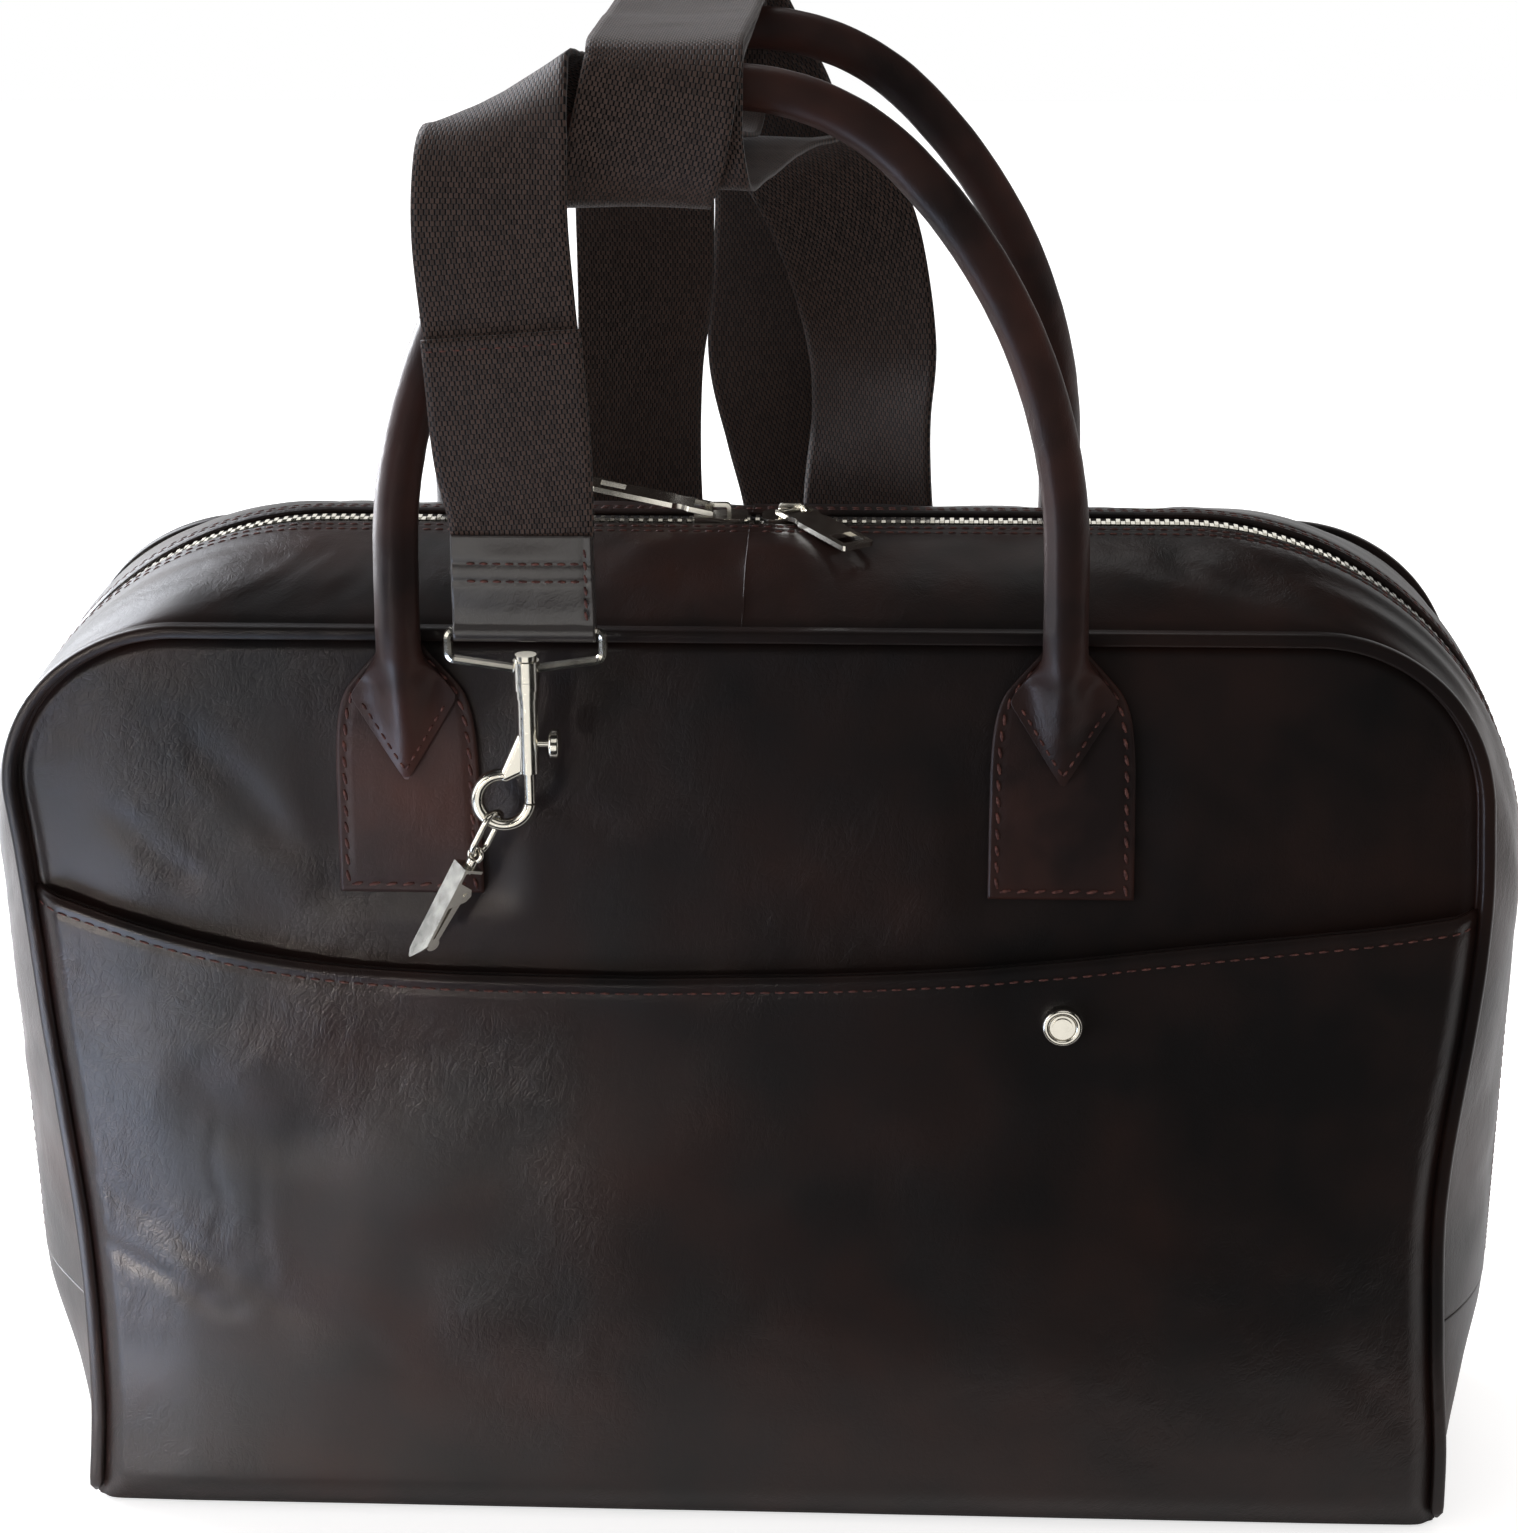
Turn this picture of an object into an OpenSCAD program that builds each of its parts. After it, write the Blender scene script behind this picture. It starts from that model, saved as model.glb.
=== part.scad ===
// Soft leather briefcase: zip round three sides, open front pocket, two rolled
// handles and a webbing shoulder strap wound round them, with bolt snap hooks.
// Millimetres, +Z up, front at -Y, origin at the middle of the base.

/* [Body] */
// Width across the shoulders, over the piping
body_w = 400; // [340:5:460]
// Width at the base, over the piping
base_w = 388; // [340:2:460]
// Height of the front and back panels
body_h = 267; // [230:1:310]
// Depth from the front piping to the back piping
body_d = 110; // [90:1:150]
// Corner radius of the panels, over the piping
corner_r = 48; // [36:1:60]
// How far the gusset bulges out at the zip
bulge = 16; // [8:0.5:22]
// Corner radius of the line that the zip follows
ridge_r = 98; // [80:1:110]
// Thickness of the outer leather
leather_t = 1.6; // [1.2:0.1:2]
// Diameter of the piping
piping_d = 4; // [3:0.5:5]
// Thickness of the lining
lining_t = 0.6; // [0.4:0.1:1]
// Thickness of the stiff board in the base
board_t = 2.5; // [1.5:0.5:4]
// Height of the zip's ends above the base
zip_end_h = 62; // [40:1:90]
// Clearance between soft pieces that are sewn together
seam_gap = 0.3; // [0.2:0.05:0.4]

/* [Front pocket] */
// Height of the pocket's edge at its middle
pocket_h = 168; // [140:1:180]
// How much higher the pocket's edge is at both sides
pocket_rise = 22; // [10:1:28]
// Hollow between the pocket and the front panel
pocket_gap = 4.6; // [4.5:0.1:7]
// Depth of the turned hem at the pocket's edge
hem_h = 9; // [6:0.5:12]
// Distance of the stud from the middle
stud_x = 87; // [60:1:110]
// Depth of the stud below the pocket's edge
stud_drop = 14.5; // [14:0.5:30]
// Diameter of the stud's cap
stud_d = 11; // [8:0.5:14]

/* [Zip] */
// Distance from tooth to tooth along one tape
tooth_pitch = 2.7; // [2.5:0.1:3.2]
// Length of a tooth along the zip
tooth_l = 1.15; // [1:0.05:1.2]
// Height of a tooth
tooth_h = 2.4; // [2:0.1:2.6]
// Reach of a tooth from the zip's middle to its foot
tooth_w = 2.6; // [2.4:0.1:2.8]
// Width of one tape beyond the zip's middle
tape_w = 12; // [10:0.5:13]
// Thickness of the tapes
tape_t = 0.6; // [0.4:0.1:0.7]
// Depth of the zip below the top of the bulge
zip_sink = 2.3; // [2.2:0.1:3]
// Half the gap between the two leather strips
strip_gap = 6; // [5.8:0.1:8]
// Length of a slider's body
slider_l = 15; // [14:0.5:17]
// Gap between the noses of the two sliders
slider_gap = 4; // [3:0.5:8]
// Spread of each row of teeth inside a slider
tooth_spread = 1.7; // [1.6:0.1:1.8]
// Thickness of a slider's plates
slider_plate_t = 1.1; // [1:0.1:1.2]
// Length of a puller from its crossbar to its end
puller_l = 34; // [26:1:38]
// Width of a puller's plate
puller_w = 10; // [9.5:0.5:11]
// Thickness of a puller's plate
puller_t = 1.4; // [1.2:0.1:1.5]
// Rise of the left puller above level
puller_left_rise = 12; // [8:1:30]
// Turn of the right puller towards the front
puller_right_turn = 55; // [0:5:55]
// Slope of the right puller's plate
puller_right_slope = -4; // [-4:1:20]

/* [Handles] */
// Diameter of the rolled leather
handle_d = 12; // [10:0.5:13]
// Thickness of the leather rolled round the core
handle_wall = 2; // [1.5:0.1:2.5]
// Half the distance between a handle's two legs
handle_x = 88.5; // [80:0.5:100]
// Height of a handle's top, along its own plane, above its feet
handle_rise = 141; // [130:1:160]
// Radius of a handle's top
handle_top_r = 64; // [56:1:66]
// Radius of a handle's shoulders
handle_shoulder_r = 147; // [110:1:150]
// Lean of the handles towards each other
handle_lean = 5.5; // [3:0.5:8]
// Width of a patch at its foot
patch_w = 39; // [34:1:46]
// Height of the patches' lower edge
patch_z = 191; // [185:1:200]
// Height of a tab's tip above the patch's lower edge
tab_lift = 33.5; // [30:0.5:40]
// Length of a tab's point
tab_point = 23.5; // [20:0.5:28]
// Half the width of a tab
tab_half = 14.5; // [10:0.5:16]
// Height of a patch's straight part
patch_h = 56; // [40:1:60]

/* [Strap] */
// Width of the webbing
strap_w = 40; // [38:0.5:41]
// Thickness of the webbing
strap_t = 1.6; // [1.2:0.1:1.8]
// Thickness of the leather round the webbing's ends
chape_t = 1.4; // [1.2:0.1:1.6]
// Height of the leather end above its fold
chape_h = 27; // [24:1:32]
// Width of that leather
chape_w = 37.4; // [36:0.2:38]
// Width of the wire loop, inside
loop_w = 38.4; // [38.2:0.2:44]
// Thickness of the loop's wire
loop_wire = 2.6; // [2.2:0.1:3]

/* [Snap hook] */
// Diameter of the hook's neck
neck_d = 5.6; // [5.2:0.2:6.4]
// Diameter of the swivel's stud
swivel_d = 3; // [2.6:0.1:3.2]
// Distance from the loop's bar down to the middle of the hook's ring
hook_drop = 36.5; // [35:0.5:39]
// Outer radius of the hook's ring
ring_r = 8.8; // [8.4:0.1:9.4]
// Thickness of the ring's wire
ring_wire = 3.4; // [3:0.1:3.5]
// Diameter of the sliding bolt
bolt_d = 3; // [2.6:0.1:3.2]
// Travel of the sliding bolt
bolt_travel = 6; // [4:0.5:6.5]
// Diameter of the bolt's thumb button
button_d = 8; // [6:0.5:9]
// Running clearance between turning metal pieces
run_gap = 0.1; // [0.08:0.01:0.1]

/* [Clip] */
// Length of the clip's plate
clip_l = 31; // [28:1:34]
// Width of the clip's plate
clip_w = 5.5; // [5:0.5:7]
// Sheet thickness of the clip
clip_t = 0.9; // [0.7:0.1:1]
// Lean of the hanging clip from upright
clip_lean = 27; // [20:1:30]
// Thickness of the link's wire
link_wire = 1.8; // [1.6:0.1:2]

/* [Hidden] */
$fn = 48;

leather = "#2e1a18";
welt = "#241312";
woven = "#38251f";
nickel = "#c9c7c2";
cloth = "#3a3a3d";
card = "#6b5a48";

// ---- Shared shapes ----

// Sides lean in from the shoulders to the base
taper = atan((body_w - base_w) / 2 / (body_h - corner_r));
piping_y = (body_d - piping_d) / 2;
panel_face = piping_y + leather_t / 2;
gusset_y = piping_y - piping_d / 2 - seam_gap;
// Radius of the bulged section of the gusset
bulge_r = (gusset_y * gusset_y + bulge * bulge) / (2 * bulge);
side_steps = 6;
arc_steps = 13;

// Right half of an outline, from the side at height low up to the middle of the top.
// Each point is [x, z, angle of the outward direction].
function half_outline(w, h, r, low) =
  let (cx = w / 2 - r, cz = h - r, tx = cx + r * cos(taper), tz = cz - r * sin(taper))
  concat(
    [for (i = [0:side_steps - 1]) let (z = low + (tz - low) * i / side_steps)
      [tx - (tz - z) * tan(taper), z, -taper]],
    [for (i = [0:arc_steps]) let (a = -taper + (90 + taper) * i / arc_steps)
      [cx + r * cos(a), cz + r * sin(a), a]],
    [[0, h, 90]]);

// Whole outline of a panel that lies inset inside the bag's outline
function panel_points(inset, low) =
  let (half = half_outline(body_w - 2 * inset, body_h - inset, corner_r - inset, low),
       n = len(half))
  concat([for (p = half) [p[0], p[1]]], [for (i = [n - 2:-1:0]) [-half[i][0], half[i][1]]]);

// A flat sheet between two depths, drawn in X and Z
module upright(y0, y1) {
  translate([0, y1, 0]) rotate([90, 0, 0]) linear_extrude(y1 - y0) children();
}

// Triangles between ring a and ring b of m points each, numbered from 0
function band(a, b, m) = [for (k = [0:m - 1]) let (n = (k + 1) % m)
  each [[a + k, b + k, b + n], [a + k, b + n, a + n]]];

// Triangles over the end ring a of m points, each point paired with the one across
function cap(a, m) = [for (k = [0:m / 2 - 2])
  each [[a + k, a + k + 1, a + m - 2 - k], [a + k, a + m - 2 - k, a + m - 1 - k]]];

// A skin through rings that all have the same even number of points
module skin(rings) {
  m = len(rings[0]);
  n = len(rings);
  points = [for (r = rings) each r];
  faces = concat(
    cap(0, m),
    [for (i = [0:n - 2]) each band(i * m, (i + 1) * m, m)],
    [for (t = cap((n - 1) * m, m)) [t[2], t[1], t[0]]]);
  polyhedron(points, faces, convexity = 10);
}

// A hollow skin: outer and inner rings, joined at both ends
module hollow_skin(outer, inner) {
  m = len(outer[0]);
  o = len(outer);
  last = o + len(inner) - 1;
  points = [for (r = concat(outer, inner)) each r];
  faces = concat(
    [for (i = [0:o - 2]) each band(i * m, (i + 1) * m, m)],
    [for (i = [o:last - 1]) each band((i + 1) * m, i * m, m)],
    band(o * m, 0, m),
    band((o - 1) * m, last * m, m));
  polyhedron(points, faces, convexity = 10);
}

// Round ring at a path point [x, z, angle of the outward direction], slid along by ahead
function round_ring(p, r, sides, ahead = 0) =
  let (out = [cos(p[2]), 0, sin(p[2])], c = [p[0], 0, p[1]] + ahead * [-sin(p[2]), 0, cos(p[2])])
  [for (k = [0:sides - 1]) let (a = 360 * k / sides) c + r * (cos(a) * out - sin(a) * [0, 1, 0])];

// Rings that close a rope's end with part of a ball, down to radius small
function ball_rings(p, r, small, sides, dir) =
  let (steps = 3, full = acos(small / r))
  [for (i = [0:steps - 1]) let (a = full * (dir < 0 ? steps - i : i + 1) / steps)
    round_ring(p, r * cos(a), sides, dir * r * sin(a))];

function mirrored(path) =
  concat(path, [for (i = [len(path) - 2:-1:0]) [-path[i][0], path[i][1], 180 - path[i][2]]]);

module both_sides() {
  children();
  mirror([1, 0, 0]) children();
}

module front_back(back) {
  if (back) mirror([0, 1, 0]) children();
  else children();
}

// ---- Shell ----

panel_inset = piping_d + seam_gap;

module panel() {
  upright(-panel_face, leather_t - panel_face) polygon(panel_points(panel_inset, 0));
}

module front_panel() { color(leather) panel(); }
module back_panel() { color(leather) front_back(true) panel(); }

hem_t = leather_t * 0.75;
pocket_face = panel_face + pocket_gap + hem_t + leather_t;
pocket_power = 2.2;

function pocket_edge(x) = pocket_h + pocket_rise * pow(abs(x) / (body_w / 2), pocket_power);

// Everything below the pocket's edge, lowered by a step
module below_edge(drop) {
  steps = 24;
  polygon(concat(
    [[body_w / 2, -1], [-body_w / 2, -1]],
    [for (i = [0:steps]) let (x = body_w * (i / steps - 0.5)) [x, pocket_edge(x) - drop]]));
}

module pocket_outline(inset, drop = 0, low = 0) {
  intersection() {
    polygon(panel_points(panel_inset + inset, low));
    below_edge(drop);
  }
}

module front_pocket() {
  rim = 3;
  seat = panel_face + seam_gap / 2;
  inner = pocket_face - leather_t;
  color(leather) difference() {
    union() {
      upright(-pocket_face, -inner) pocket_outline(0);
      // side and bottom walls that carry the pocket away from the panel
      upright(-inner, -seat) difference() {
        pocket_outline(0);
        translate([0, body_h / 2]) square([2 * body_w, body_h], center = true);
      }
      upright(-inner, -seat) difference() {
        pocket_outline(0);
        pocket_outline(rim, -body_h, rim);
      }
      // turned hem along the edge
      upright(-inner, hem_t - inner) difference() {
        pocket_outline(rim);
        below_edge(hem_h);
      }
    }
    translate([stud_x, 0, stud_z]) rotate([90, 0, 0]) cylinder(d = stud_post_d + 0.1, h = body_d);
  }
}

stud_post_d = 3;
stud_z = pocket_edge(stud_x) - stud_drop;
stud_h = 3.2;

// Domed cap with a raised rim, and its post through the pocket
module pocket_stud() {
  rim_r = 1;
  color(nickel) translate([stud_x, -pocket_face, stud_z]) rotate([90, 0, 0]) {
    rotate_extrude() union() {
      square([stud_d / 2, stud_h - rim_r]);
      translate([stud_d / 2 - rim_r, stud_h - rim_r]) circle(r = rim_r);
      square([stud_d / 2 - 2 * rim_r, stud_h - rim_r / 2]);
      square([stud_d / 4, stud_h]);
    }
    translate([0, 0, -leather_t - stud_washer_t]) cylinder(d = stud_post_d, h = leather_t + stud_washer_t + 1);
  }
}

stud_washer_t = 0.8;

module pocket_stud_washer() {
  color(nickel) translate([stud_x, leather_t - pocket_face + stud_washer_t, stud_z]) rotate([90, 0, 0])
    difference() {
      cylinder(d = stud_d * 0.75, h = stud_washer_t);
      translate([0, 0, -1]) cylinder(d = stud_post_d + 0.1, h = stud_washer_t + 2);
    }
}

base_half = base_w / 2 - piping_d / 2 - leather_t - seam_gap;
base_depth = panel_face - leather_t - seam_gap;

module base_panel() {
  color(leather) translate([-base_half, -base_depth, 0]) cube([2 * base_half, 2 * base_depth, leather_t]);
}

board_z = leather_t + seam_gap / 2;
board_edge = 3;

module base_board() {
  color(card) translate([board_edge - base_half, board_edge - base_depth, board_z])
    cube([2 * (base_half - board_edge), 2 * (base_depth - board_edge), board_t]);
}

lining_inset = panel_inset + seam_gap;
lining_y = panel_face - leather_t - seam_gap;
lining_z = board_z + board_t + seam_gap;

// Cloth bag inside, open along the zip
module lining() {
  color(cloth) difference() {
    upright(-lining_y, lining_y) polygon(panel_points(lining_inset, lining_z));
    upright(lining_t - lining_y, lining_y - lining_t)
      polygon(panel_points(lining_inset + lining_t, lining_z + lining_t));
    translate([0, 0, body_h - corner_r]) linear_extrude(body_h)
      square([2 * (body_w / 2 - corner_r), 2 * tape_w], center = true);
  }
}

// Cord welted into the seam round a panel, with round ends at the base
module piping() {
  r = piping_d / 2;
  sides = 8;
  path = mirrored(half_outline(body_w - piping_d, body_h - r, corner_r - r, r));
  color(welt) translate([0, -piping_y, 0]) skin(concat(
    ball_rings(path[0], r, r / 4, sides, -1),
    [for (p = path) round_ring(p, r, sides)],
    ball_rings(path[len(path) - 1], r, r / 4, sides, 1)));
}

module piping_front() { piping(); }
module piping_back() { front_back(true) piping(); }

// Share of the bulge that a point at depth y has, from 0 at the piping to 1 at the zip
function bulge_share(y) =
  (sqrt(bulge_r * bulge_r - y * y) - sqrt(bulge_r * bulge_r - gusset_y * gusset_y)) / bulge;

seam_line = half_outline(body_w - piping_d, body_h - piping_d / 2, corner_r - piping_d / 2, zip_end_h);
ridge_line = half_outline(body_w + 2 * bulge, body_h + bulge, ridge_r, zip_end_h);
strip_steps = 5;

// One station of a gusset strip: outer points from the piping to the zip, then inner ones back
function strip_ring(i) =
  let (p = seam_line[i], r = ridge_line[i], out = [cos(p[2]), 0, sin(p[2])],
       outer = [for (k = [0:strip_steps])
         let (y = gusset_y + (strip_gap - gusset_y) * k / strip_steps, s = bulge_share(y))
         [p[0] + (r[0] - p[0]) * s, -y, p[1] + (r[1] - p[1]) * s]])
  concat(outer, [for (k = [strip_steps:-1:0]) outer[k] - leather_t * out]);

// Leather strip between the piping and the zip, from a zip end to the middle of the top
module gusset_strip() {
  last = len(seam_line) - 1;
  join = [seam_gap / 2, 0, 0];
  color(leather) skin([for (i = [0:last])
    [for (p = strip_ring(i)) i == last ? p + join : p]]);
}

module gusset_front_right() { gusset_strip(); }
module gusset_front_left() { mirror([1, 0, 0]) gusset_strip(); }
module gusset_back_right() { front_back(true) gusset_strip(); }
module gusset_back_left() { front_back(true) mirror([1, 0, 0]) gusset_strip(); }

// Gusset below the zip, whose bulge fades to the base
module side_gusset() {
  levels = 6;
  across = 12;
  fade = 0.12;
  top = zip_end_h - seam_gap;
  out = [cos(taper), 0, -sin(taper)];
  color(leather) skin([for (i = [0:levels])
    let (z = top * i / levels,
         foot = (base_w - piping_d) / 2 + z * tan(taper),
         b = bulge * (fade + (1 - fade) * sin(90 * i / levels)),
         outer = [for (k = [0:across]) let (y = gusset_y * (1 - 2 * k / across))
           [foot + b * bulge_share(abs(y)), -y, z]])
    concat(outer, [for (k = [across:-1:0]) outer[k] - leather_t * out])]);
}

module side_gusset_right() { side_gusset(); }
module side_gusset_left() { mirror([1, 0, 0]) side_gusset(); }

// ---- Zip ----

zip_r = ridge_r - zip_sink;
zip_half = body_w / 2 + bulge - ridge_r;
zip_cz = body_h + bulge - ridge_r;
zip_z = zip_cz + zip_r;
zip_arc = zip_r * (90 + taper) * PI / 180;
zip_side = (zip_cz - zip_r * sin(taper) - zip_end_h) / cos(taper);
zip_len = zip_half + zip_arc + zip_side;
slider_mid = 0.7;
tooth_head = 0.7;
tooth_root = 0.85;
tape_edge = 1.1;

// Puts its children at distance s along the zip, X along it and Z outwards
module at_zip(s) {
  u = abs(s) - zip_half;
  if (u <= 0) translate([s, 0, zip_z]) children();
  else if (s < 0) mirror([1, 0, 0]) at_zip(-s) children();
  else translate([zip_half, 0, zip_cz])
    rotate([0, min(u, zip_arc) / zip_r * 180 / PI, 0])
      translate([max(u - zip_arc, 0), 0, zip_r]) children();
}

// Point at distance s along the zip, at depth y and height h above its line
function zip_point(s, y, h) =
  let (u = abs(s) - zip_half, a = min(max(u, 0), zip_arc) / zip_r * 180 / PI, past = max(u - zip_arc, 0))
  u <= 0 ? [s, y, zip_z + h]
  : [sign(s) * (zip_half + past * cos(a) + (zip_r + h) * sin(a)), y,
     zip_cz - past * sin(a) + (zip_r + h) * cos(a)];

// How far the teeth stand apart from the zip's middle at s, spread by the sliders
function spread(s) =
  let (d = abs(s - slider_mid), a = slider_gap / 2 + slider_l * 0.25,
       b = slider_gap / 2 + slider_l * 0.75)
  d <= a ? tooth_spread : d >= b ? 0 : tooth_spread * (1 + cos(180 * (d - a) / (b - a))) / 2;

function bulge_drop(y) = bulge_r - sqrt(bulge_r * bulge_r - y * y);

// Tape from the edge that the teeth are clamped on, under the leather to its outer edge.
// It follows the teeth that the sliders hold apart.
module tape() {
  outer_drop = leather_t + bulge_drop(tape_w) + 1.5 * seam_gap + tape_t / 2 - zip_sink;
  knee = strip_gap - seam_gap;
  t = tape_t / 2;
  reach = slider_gap / 2 + slider_l;
  steps = 14;
  turns = 30;
  right = concat([for (i = [0:turns]) zip_half + zip_arc * i / turns], [zip_len]);
  stations = concat([for (i = [len(right) - 1:-1:0]) -right[i]],
    [for (i = [0:steps]) slider_mid + reach * (2 * i / steps - 1)], right);
  color(woven) skin([for (s = stations)
    let (edge = tape_edge + spread(s),
         profile = [[edge, t], [knee, t], [tape_w, t - outer_drop],
           [tape_w, -t - outer_drop], [knee, -t], [edge, -t]])
    [for (p = profile) zip_point(s, -p[0], p[1])]]);
}

module zip_tape_front() { tape(); }
module zip_tape_back() { front_back(true) tape(); }

// A tooth clamped on the tape's edge, its head reaching past the zip's middle
module tooth() {
  h = tooth_h / 2;
  slot = tape_t / 2 + 0.05;
  rotate([90, 0, 90]) linear_extrude(tooth_l, center = true) polygon([
    [-tooth_w, -h], [tooth_head / 2, -h], [tooth_head, -h / 2], [tooth_head, h / 2],
    [tooth_head / 2, h], [-tooth_w, h], [-tooth_w, slot], [-tooth_root, slot],
    [-tooth_root, -slot], [-tooth_w, -slot]]);
}

stop_room = 4;
tooth_count = floor((zip_len - stop_room) / tooth_pitch);

module teeth(shift) {
  color(nickel) for (i = [-tooth_count:tooth_count - 1]) {
    s = (i + shift) * tooth_pitch;
    at_zip(s) translate([0, -spread(s), 0]) tooth();
  }
}

module zip_teeth_front() { teeth(0); }
module zip_teeth_back() { front_back(true) teeth(0.5); }

module zip_stops() {
  h = tooth_h / 2;
  slot = tape_t / 2 + 0.05;
  w = tooth_w + 0.4;
  side = [[w, -h], [w, -slot], [tooth_root, -slot], [tooth_root, slot], [w, slot], [w, h]];
  color(nickel) for (s = [-1, 1]) at_zip(s * (zip_len - stop_room / 4))
    rotate([90, 0, 90]) linear_extrude(stop_room / 2, center = true)
      polygon(concat(side, [for (k = [5:-1:0]) [-side[k][0], side[k][1]]]));
}

nose_w = strip_gap - 0.7;
tail_w = tooth_w + 1.1;
plate_in = tooth_h / 2 + 0.25;
plate_out = plate_in + slider_plate_t;
flange_t = 0.8;
nose_open = slider_l * 0.13;
crown_w = 1.8;
crown_t = 1.1;
crown_open = 2.3;
crown_start = slider_l * 0.305;
crown_end = slider_l * 0.795;
crossbar_d = 1.4;
crossbar_z = plate_out + crown_open - crossbar_d / 2 - run_gap;

// Half of a slider's plan, drawn in by e; longer at both ends where open is 1
function slider_side(e, open) = [
  [-open, nose_w * 0.5 - e], [0, nose_w * 0.5 - e], [slider_l * 0.04, nose_w * 0.8 - e],
  [slider_l * 0.13, nose_w * 0.97 - e], [slider_l * 0.3, nose_w - e], [slider_l * 0.55, nose_w * 0.83 - e],
  [slider_l * 0.75, tail_w - e], [slider_l * 0.97, tail_w - e], [slider_l, tail_w - 0.5 - e * (1 - open)],
  [slider_l + open, tail_w - 0.5 - e * (1 - open)]];

module slider_plan(e = 0, open = 0) {
  side = slider_side(e, open);
  polygon(concat(side, [for (k = [len(side) - 1:-1:0]) [side[k][0], -side[k][1]]]));
}

module arch(x0, x1, h, r) {
  translate([x0, 0]) square([x1 - x0, h - r]);
  translate([x0 + r, 0]) square([x1 - x0 - 2 * r, h]);
  translate([x0 + r, h - r]) circle(r = r);
  translate([x1 - r, h - r]) circle(r = r);
}

// Slider with its nose at the origin and its tail along +X
module slider() {
  color(nickel) {
    for (z = [-plate_out, plate_in]) translate([0, 0, z]) linear_extrude(slider_plate_t) slider_plan();
    // flanges that guide the outer ends of the teeth and leave a slit for the tape
    for (s = [-1, 1]) translate([0, 0, s > 0 ? tape_t / 2 + seam_gap : -plate_in])
      linear_extrude(plate_in - tape_t / 2 - seam_gap) difference() {
        slider_plan();
        slider_plan(flange_t, 1);
        square([2 * nose_open, 2 * nose_w], center = true);
      }
    // wedge between the two rows of teeth
    translate([0, 0, -plate_in]) linear_extrude(2 * plate_in)
      polygon([[0.4, -0.5], [1.6, -0.75], [slider_l * 0.28, 0], [1.6, 0.75], [0.4, 0.5]]);
    translate([0, 0, plate_out]) upright(-crown_w / 2, crown_w / 2) difference() {
      arch(crown_start, crown_end, crown_open + crown_t, crown_t * 1.4);
      translate([0, -1]) arch(crown_start + crown_t, crown_end - crown_t, crown_open + 1, crown_t / 2);
    }
  }
}

module slider_right() { translate([slider_mid + slider_gap / 2, 0, zip_z]) slider(); }
module slider_left() { translate([slider_mid - slider_gap / 2, 0, zip_z]) mirror([1, 0, 0]) slider(); }

eye_half = 3.7;
eye_l = 4.3;

// Puller with its crossbar at the origin and its plate along +X
module puller() {
  arm = puller_w / 2 - eye_half;
  window_l = 7;
  lip = 2.4;
  r = 1.2;
  color(nickel) {
    rotate([90, 0, 0]) cylinder(d = crossbar_d, h = puller_w, center = true);
    translate([0, 0, -puller_t / 2]) linear_extrude(puller_t) difference() {
      union() {
        translate([0, -puller_w / 2]) square([puller_l - r, puller_w]);
        translate([0, r - puller_w / 2]) square([puller_l, puller_w - 2 * r]);
        for (s = [-1, 1]) translate([puller_l - r, s * (puller_w / 2 - r)]) circle(r = r);
      }
      translate([-1, -eye_half]) square([1 + crossbar_d / 2 + eye_l, 2 * eye_half]);
      translate([puller_l - lip - window_l, arm + 0.4 - puller_w / 2])
        square([window_l, puller_w - 2 * arm - 0.8]);
      // waist between the eye and the plate
      for (s = [-1, 1]) translate([eye_l * 2, s * (puller_w / 2 + 3)]) circle(r = 3.8);
    }
  }
}

module puller_right() {
  translate([slider_mid + slider_gap / 2 + (crown_start + crown_end) / 2, 0, zip_z + crossbar_z])
    rotate([0, -puller_right_slope, -puller_right_turn]) puller();
}

module puller_left() {
  translate([slider_mid - slider_gap / 2 - crown_end + crown_t + crossbar_d / 2 + run_gap, 0, zip_z + crossbar_z])
    mirror([1, 0, 0]) rotate([0, -puller_left_rise, 0]) puller();
}

// ---- Handles ----

handle_shift = -2.5;
foot_rise = 3;
handle_z = body_h + foot_rise;
handle_y = panel_face + leather_t + seam_gap + handle_d / 2;
shoulder_turn = asin((handle_shoulder_r - handle_x) / (handle_shoulder_r - handle_top_r));
leg_h = handle_rise - handle_top_r - (handle_shoulder_r - handle_top_r) * cos(shoulder_turn);

// Right half of a handle's middle line in its own plane, from its foot to its top
shoulder_arc = 90 - shoulder_turn;
handle_line = mirrored(concat(
  [[handle_x, 0, 0], [handle_x, leg_h / 2, 0]],
  [for (i = [0:5]) let (a = shoulder_arc * i / 5)
    [handle_x + handle_shoulder_r * (cos(a) - 1), leg_h + handle_shoulder_r * sin(a), a]],
  [for (i = [1:4]) let (a = shoulder_arc + shoulder_turn * i / 4)
    [handle_top_r * cos(a), handle_rise - handle_top_r * (1 - sin(a)), a]]));
rope_sides = 12;

module in_handle_plane() {
  translate([handle_shift, -handle_y, handle_z]) rotate([-handle_lean, 0, 0]) children();
}

// Round rings along a handle, with ends slid out to the depth of the round seat
function rope_rings(r, depth) =
  let (n = len(handle_line) - 1)
  concat([round_ring(handle_line[0], r, rope_sides, -depth)],
    [for (i = [1:n - 1]) round_ring(handle_line[i], r, rope_sides)],
    [round_ring(handle_line[n], r, rope_sides, depth)]);

core_r = handle_d / 2 - handle_wall;
seat_depth = sqrt(handle_d * handle_d / 4 - core_r * core_r);

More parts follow.
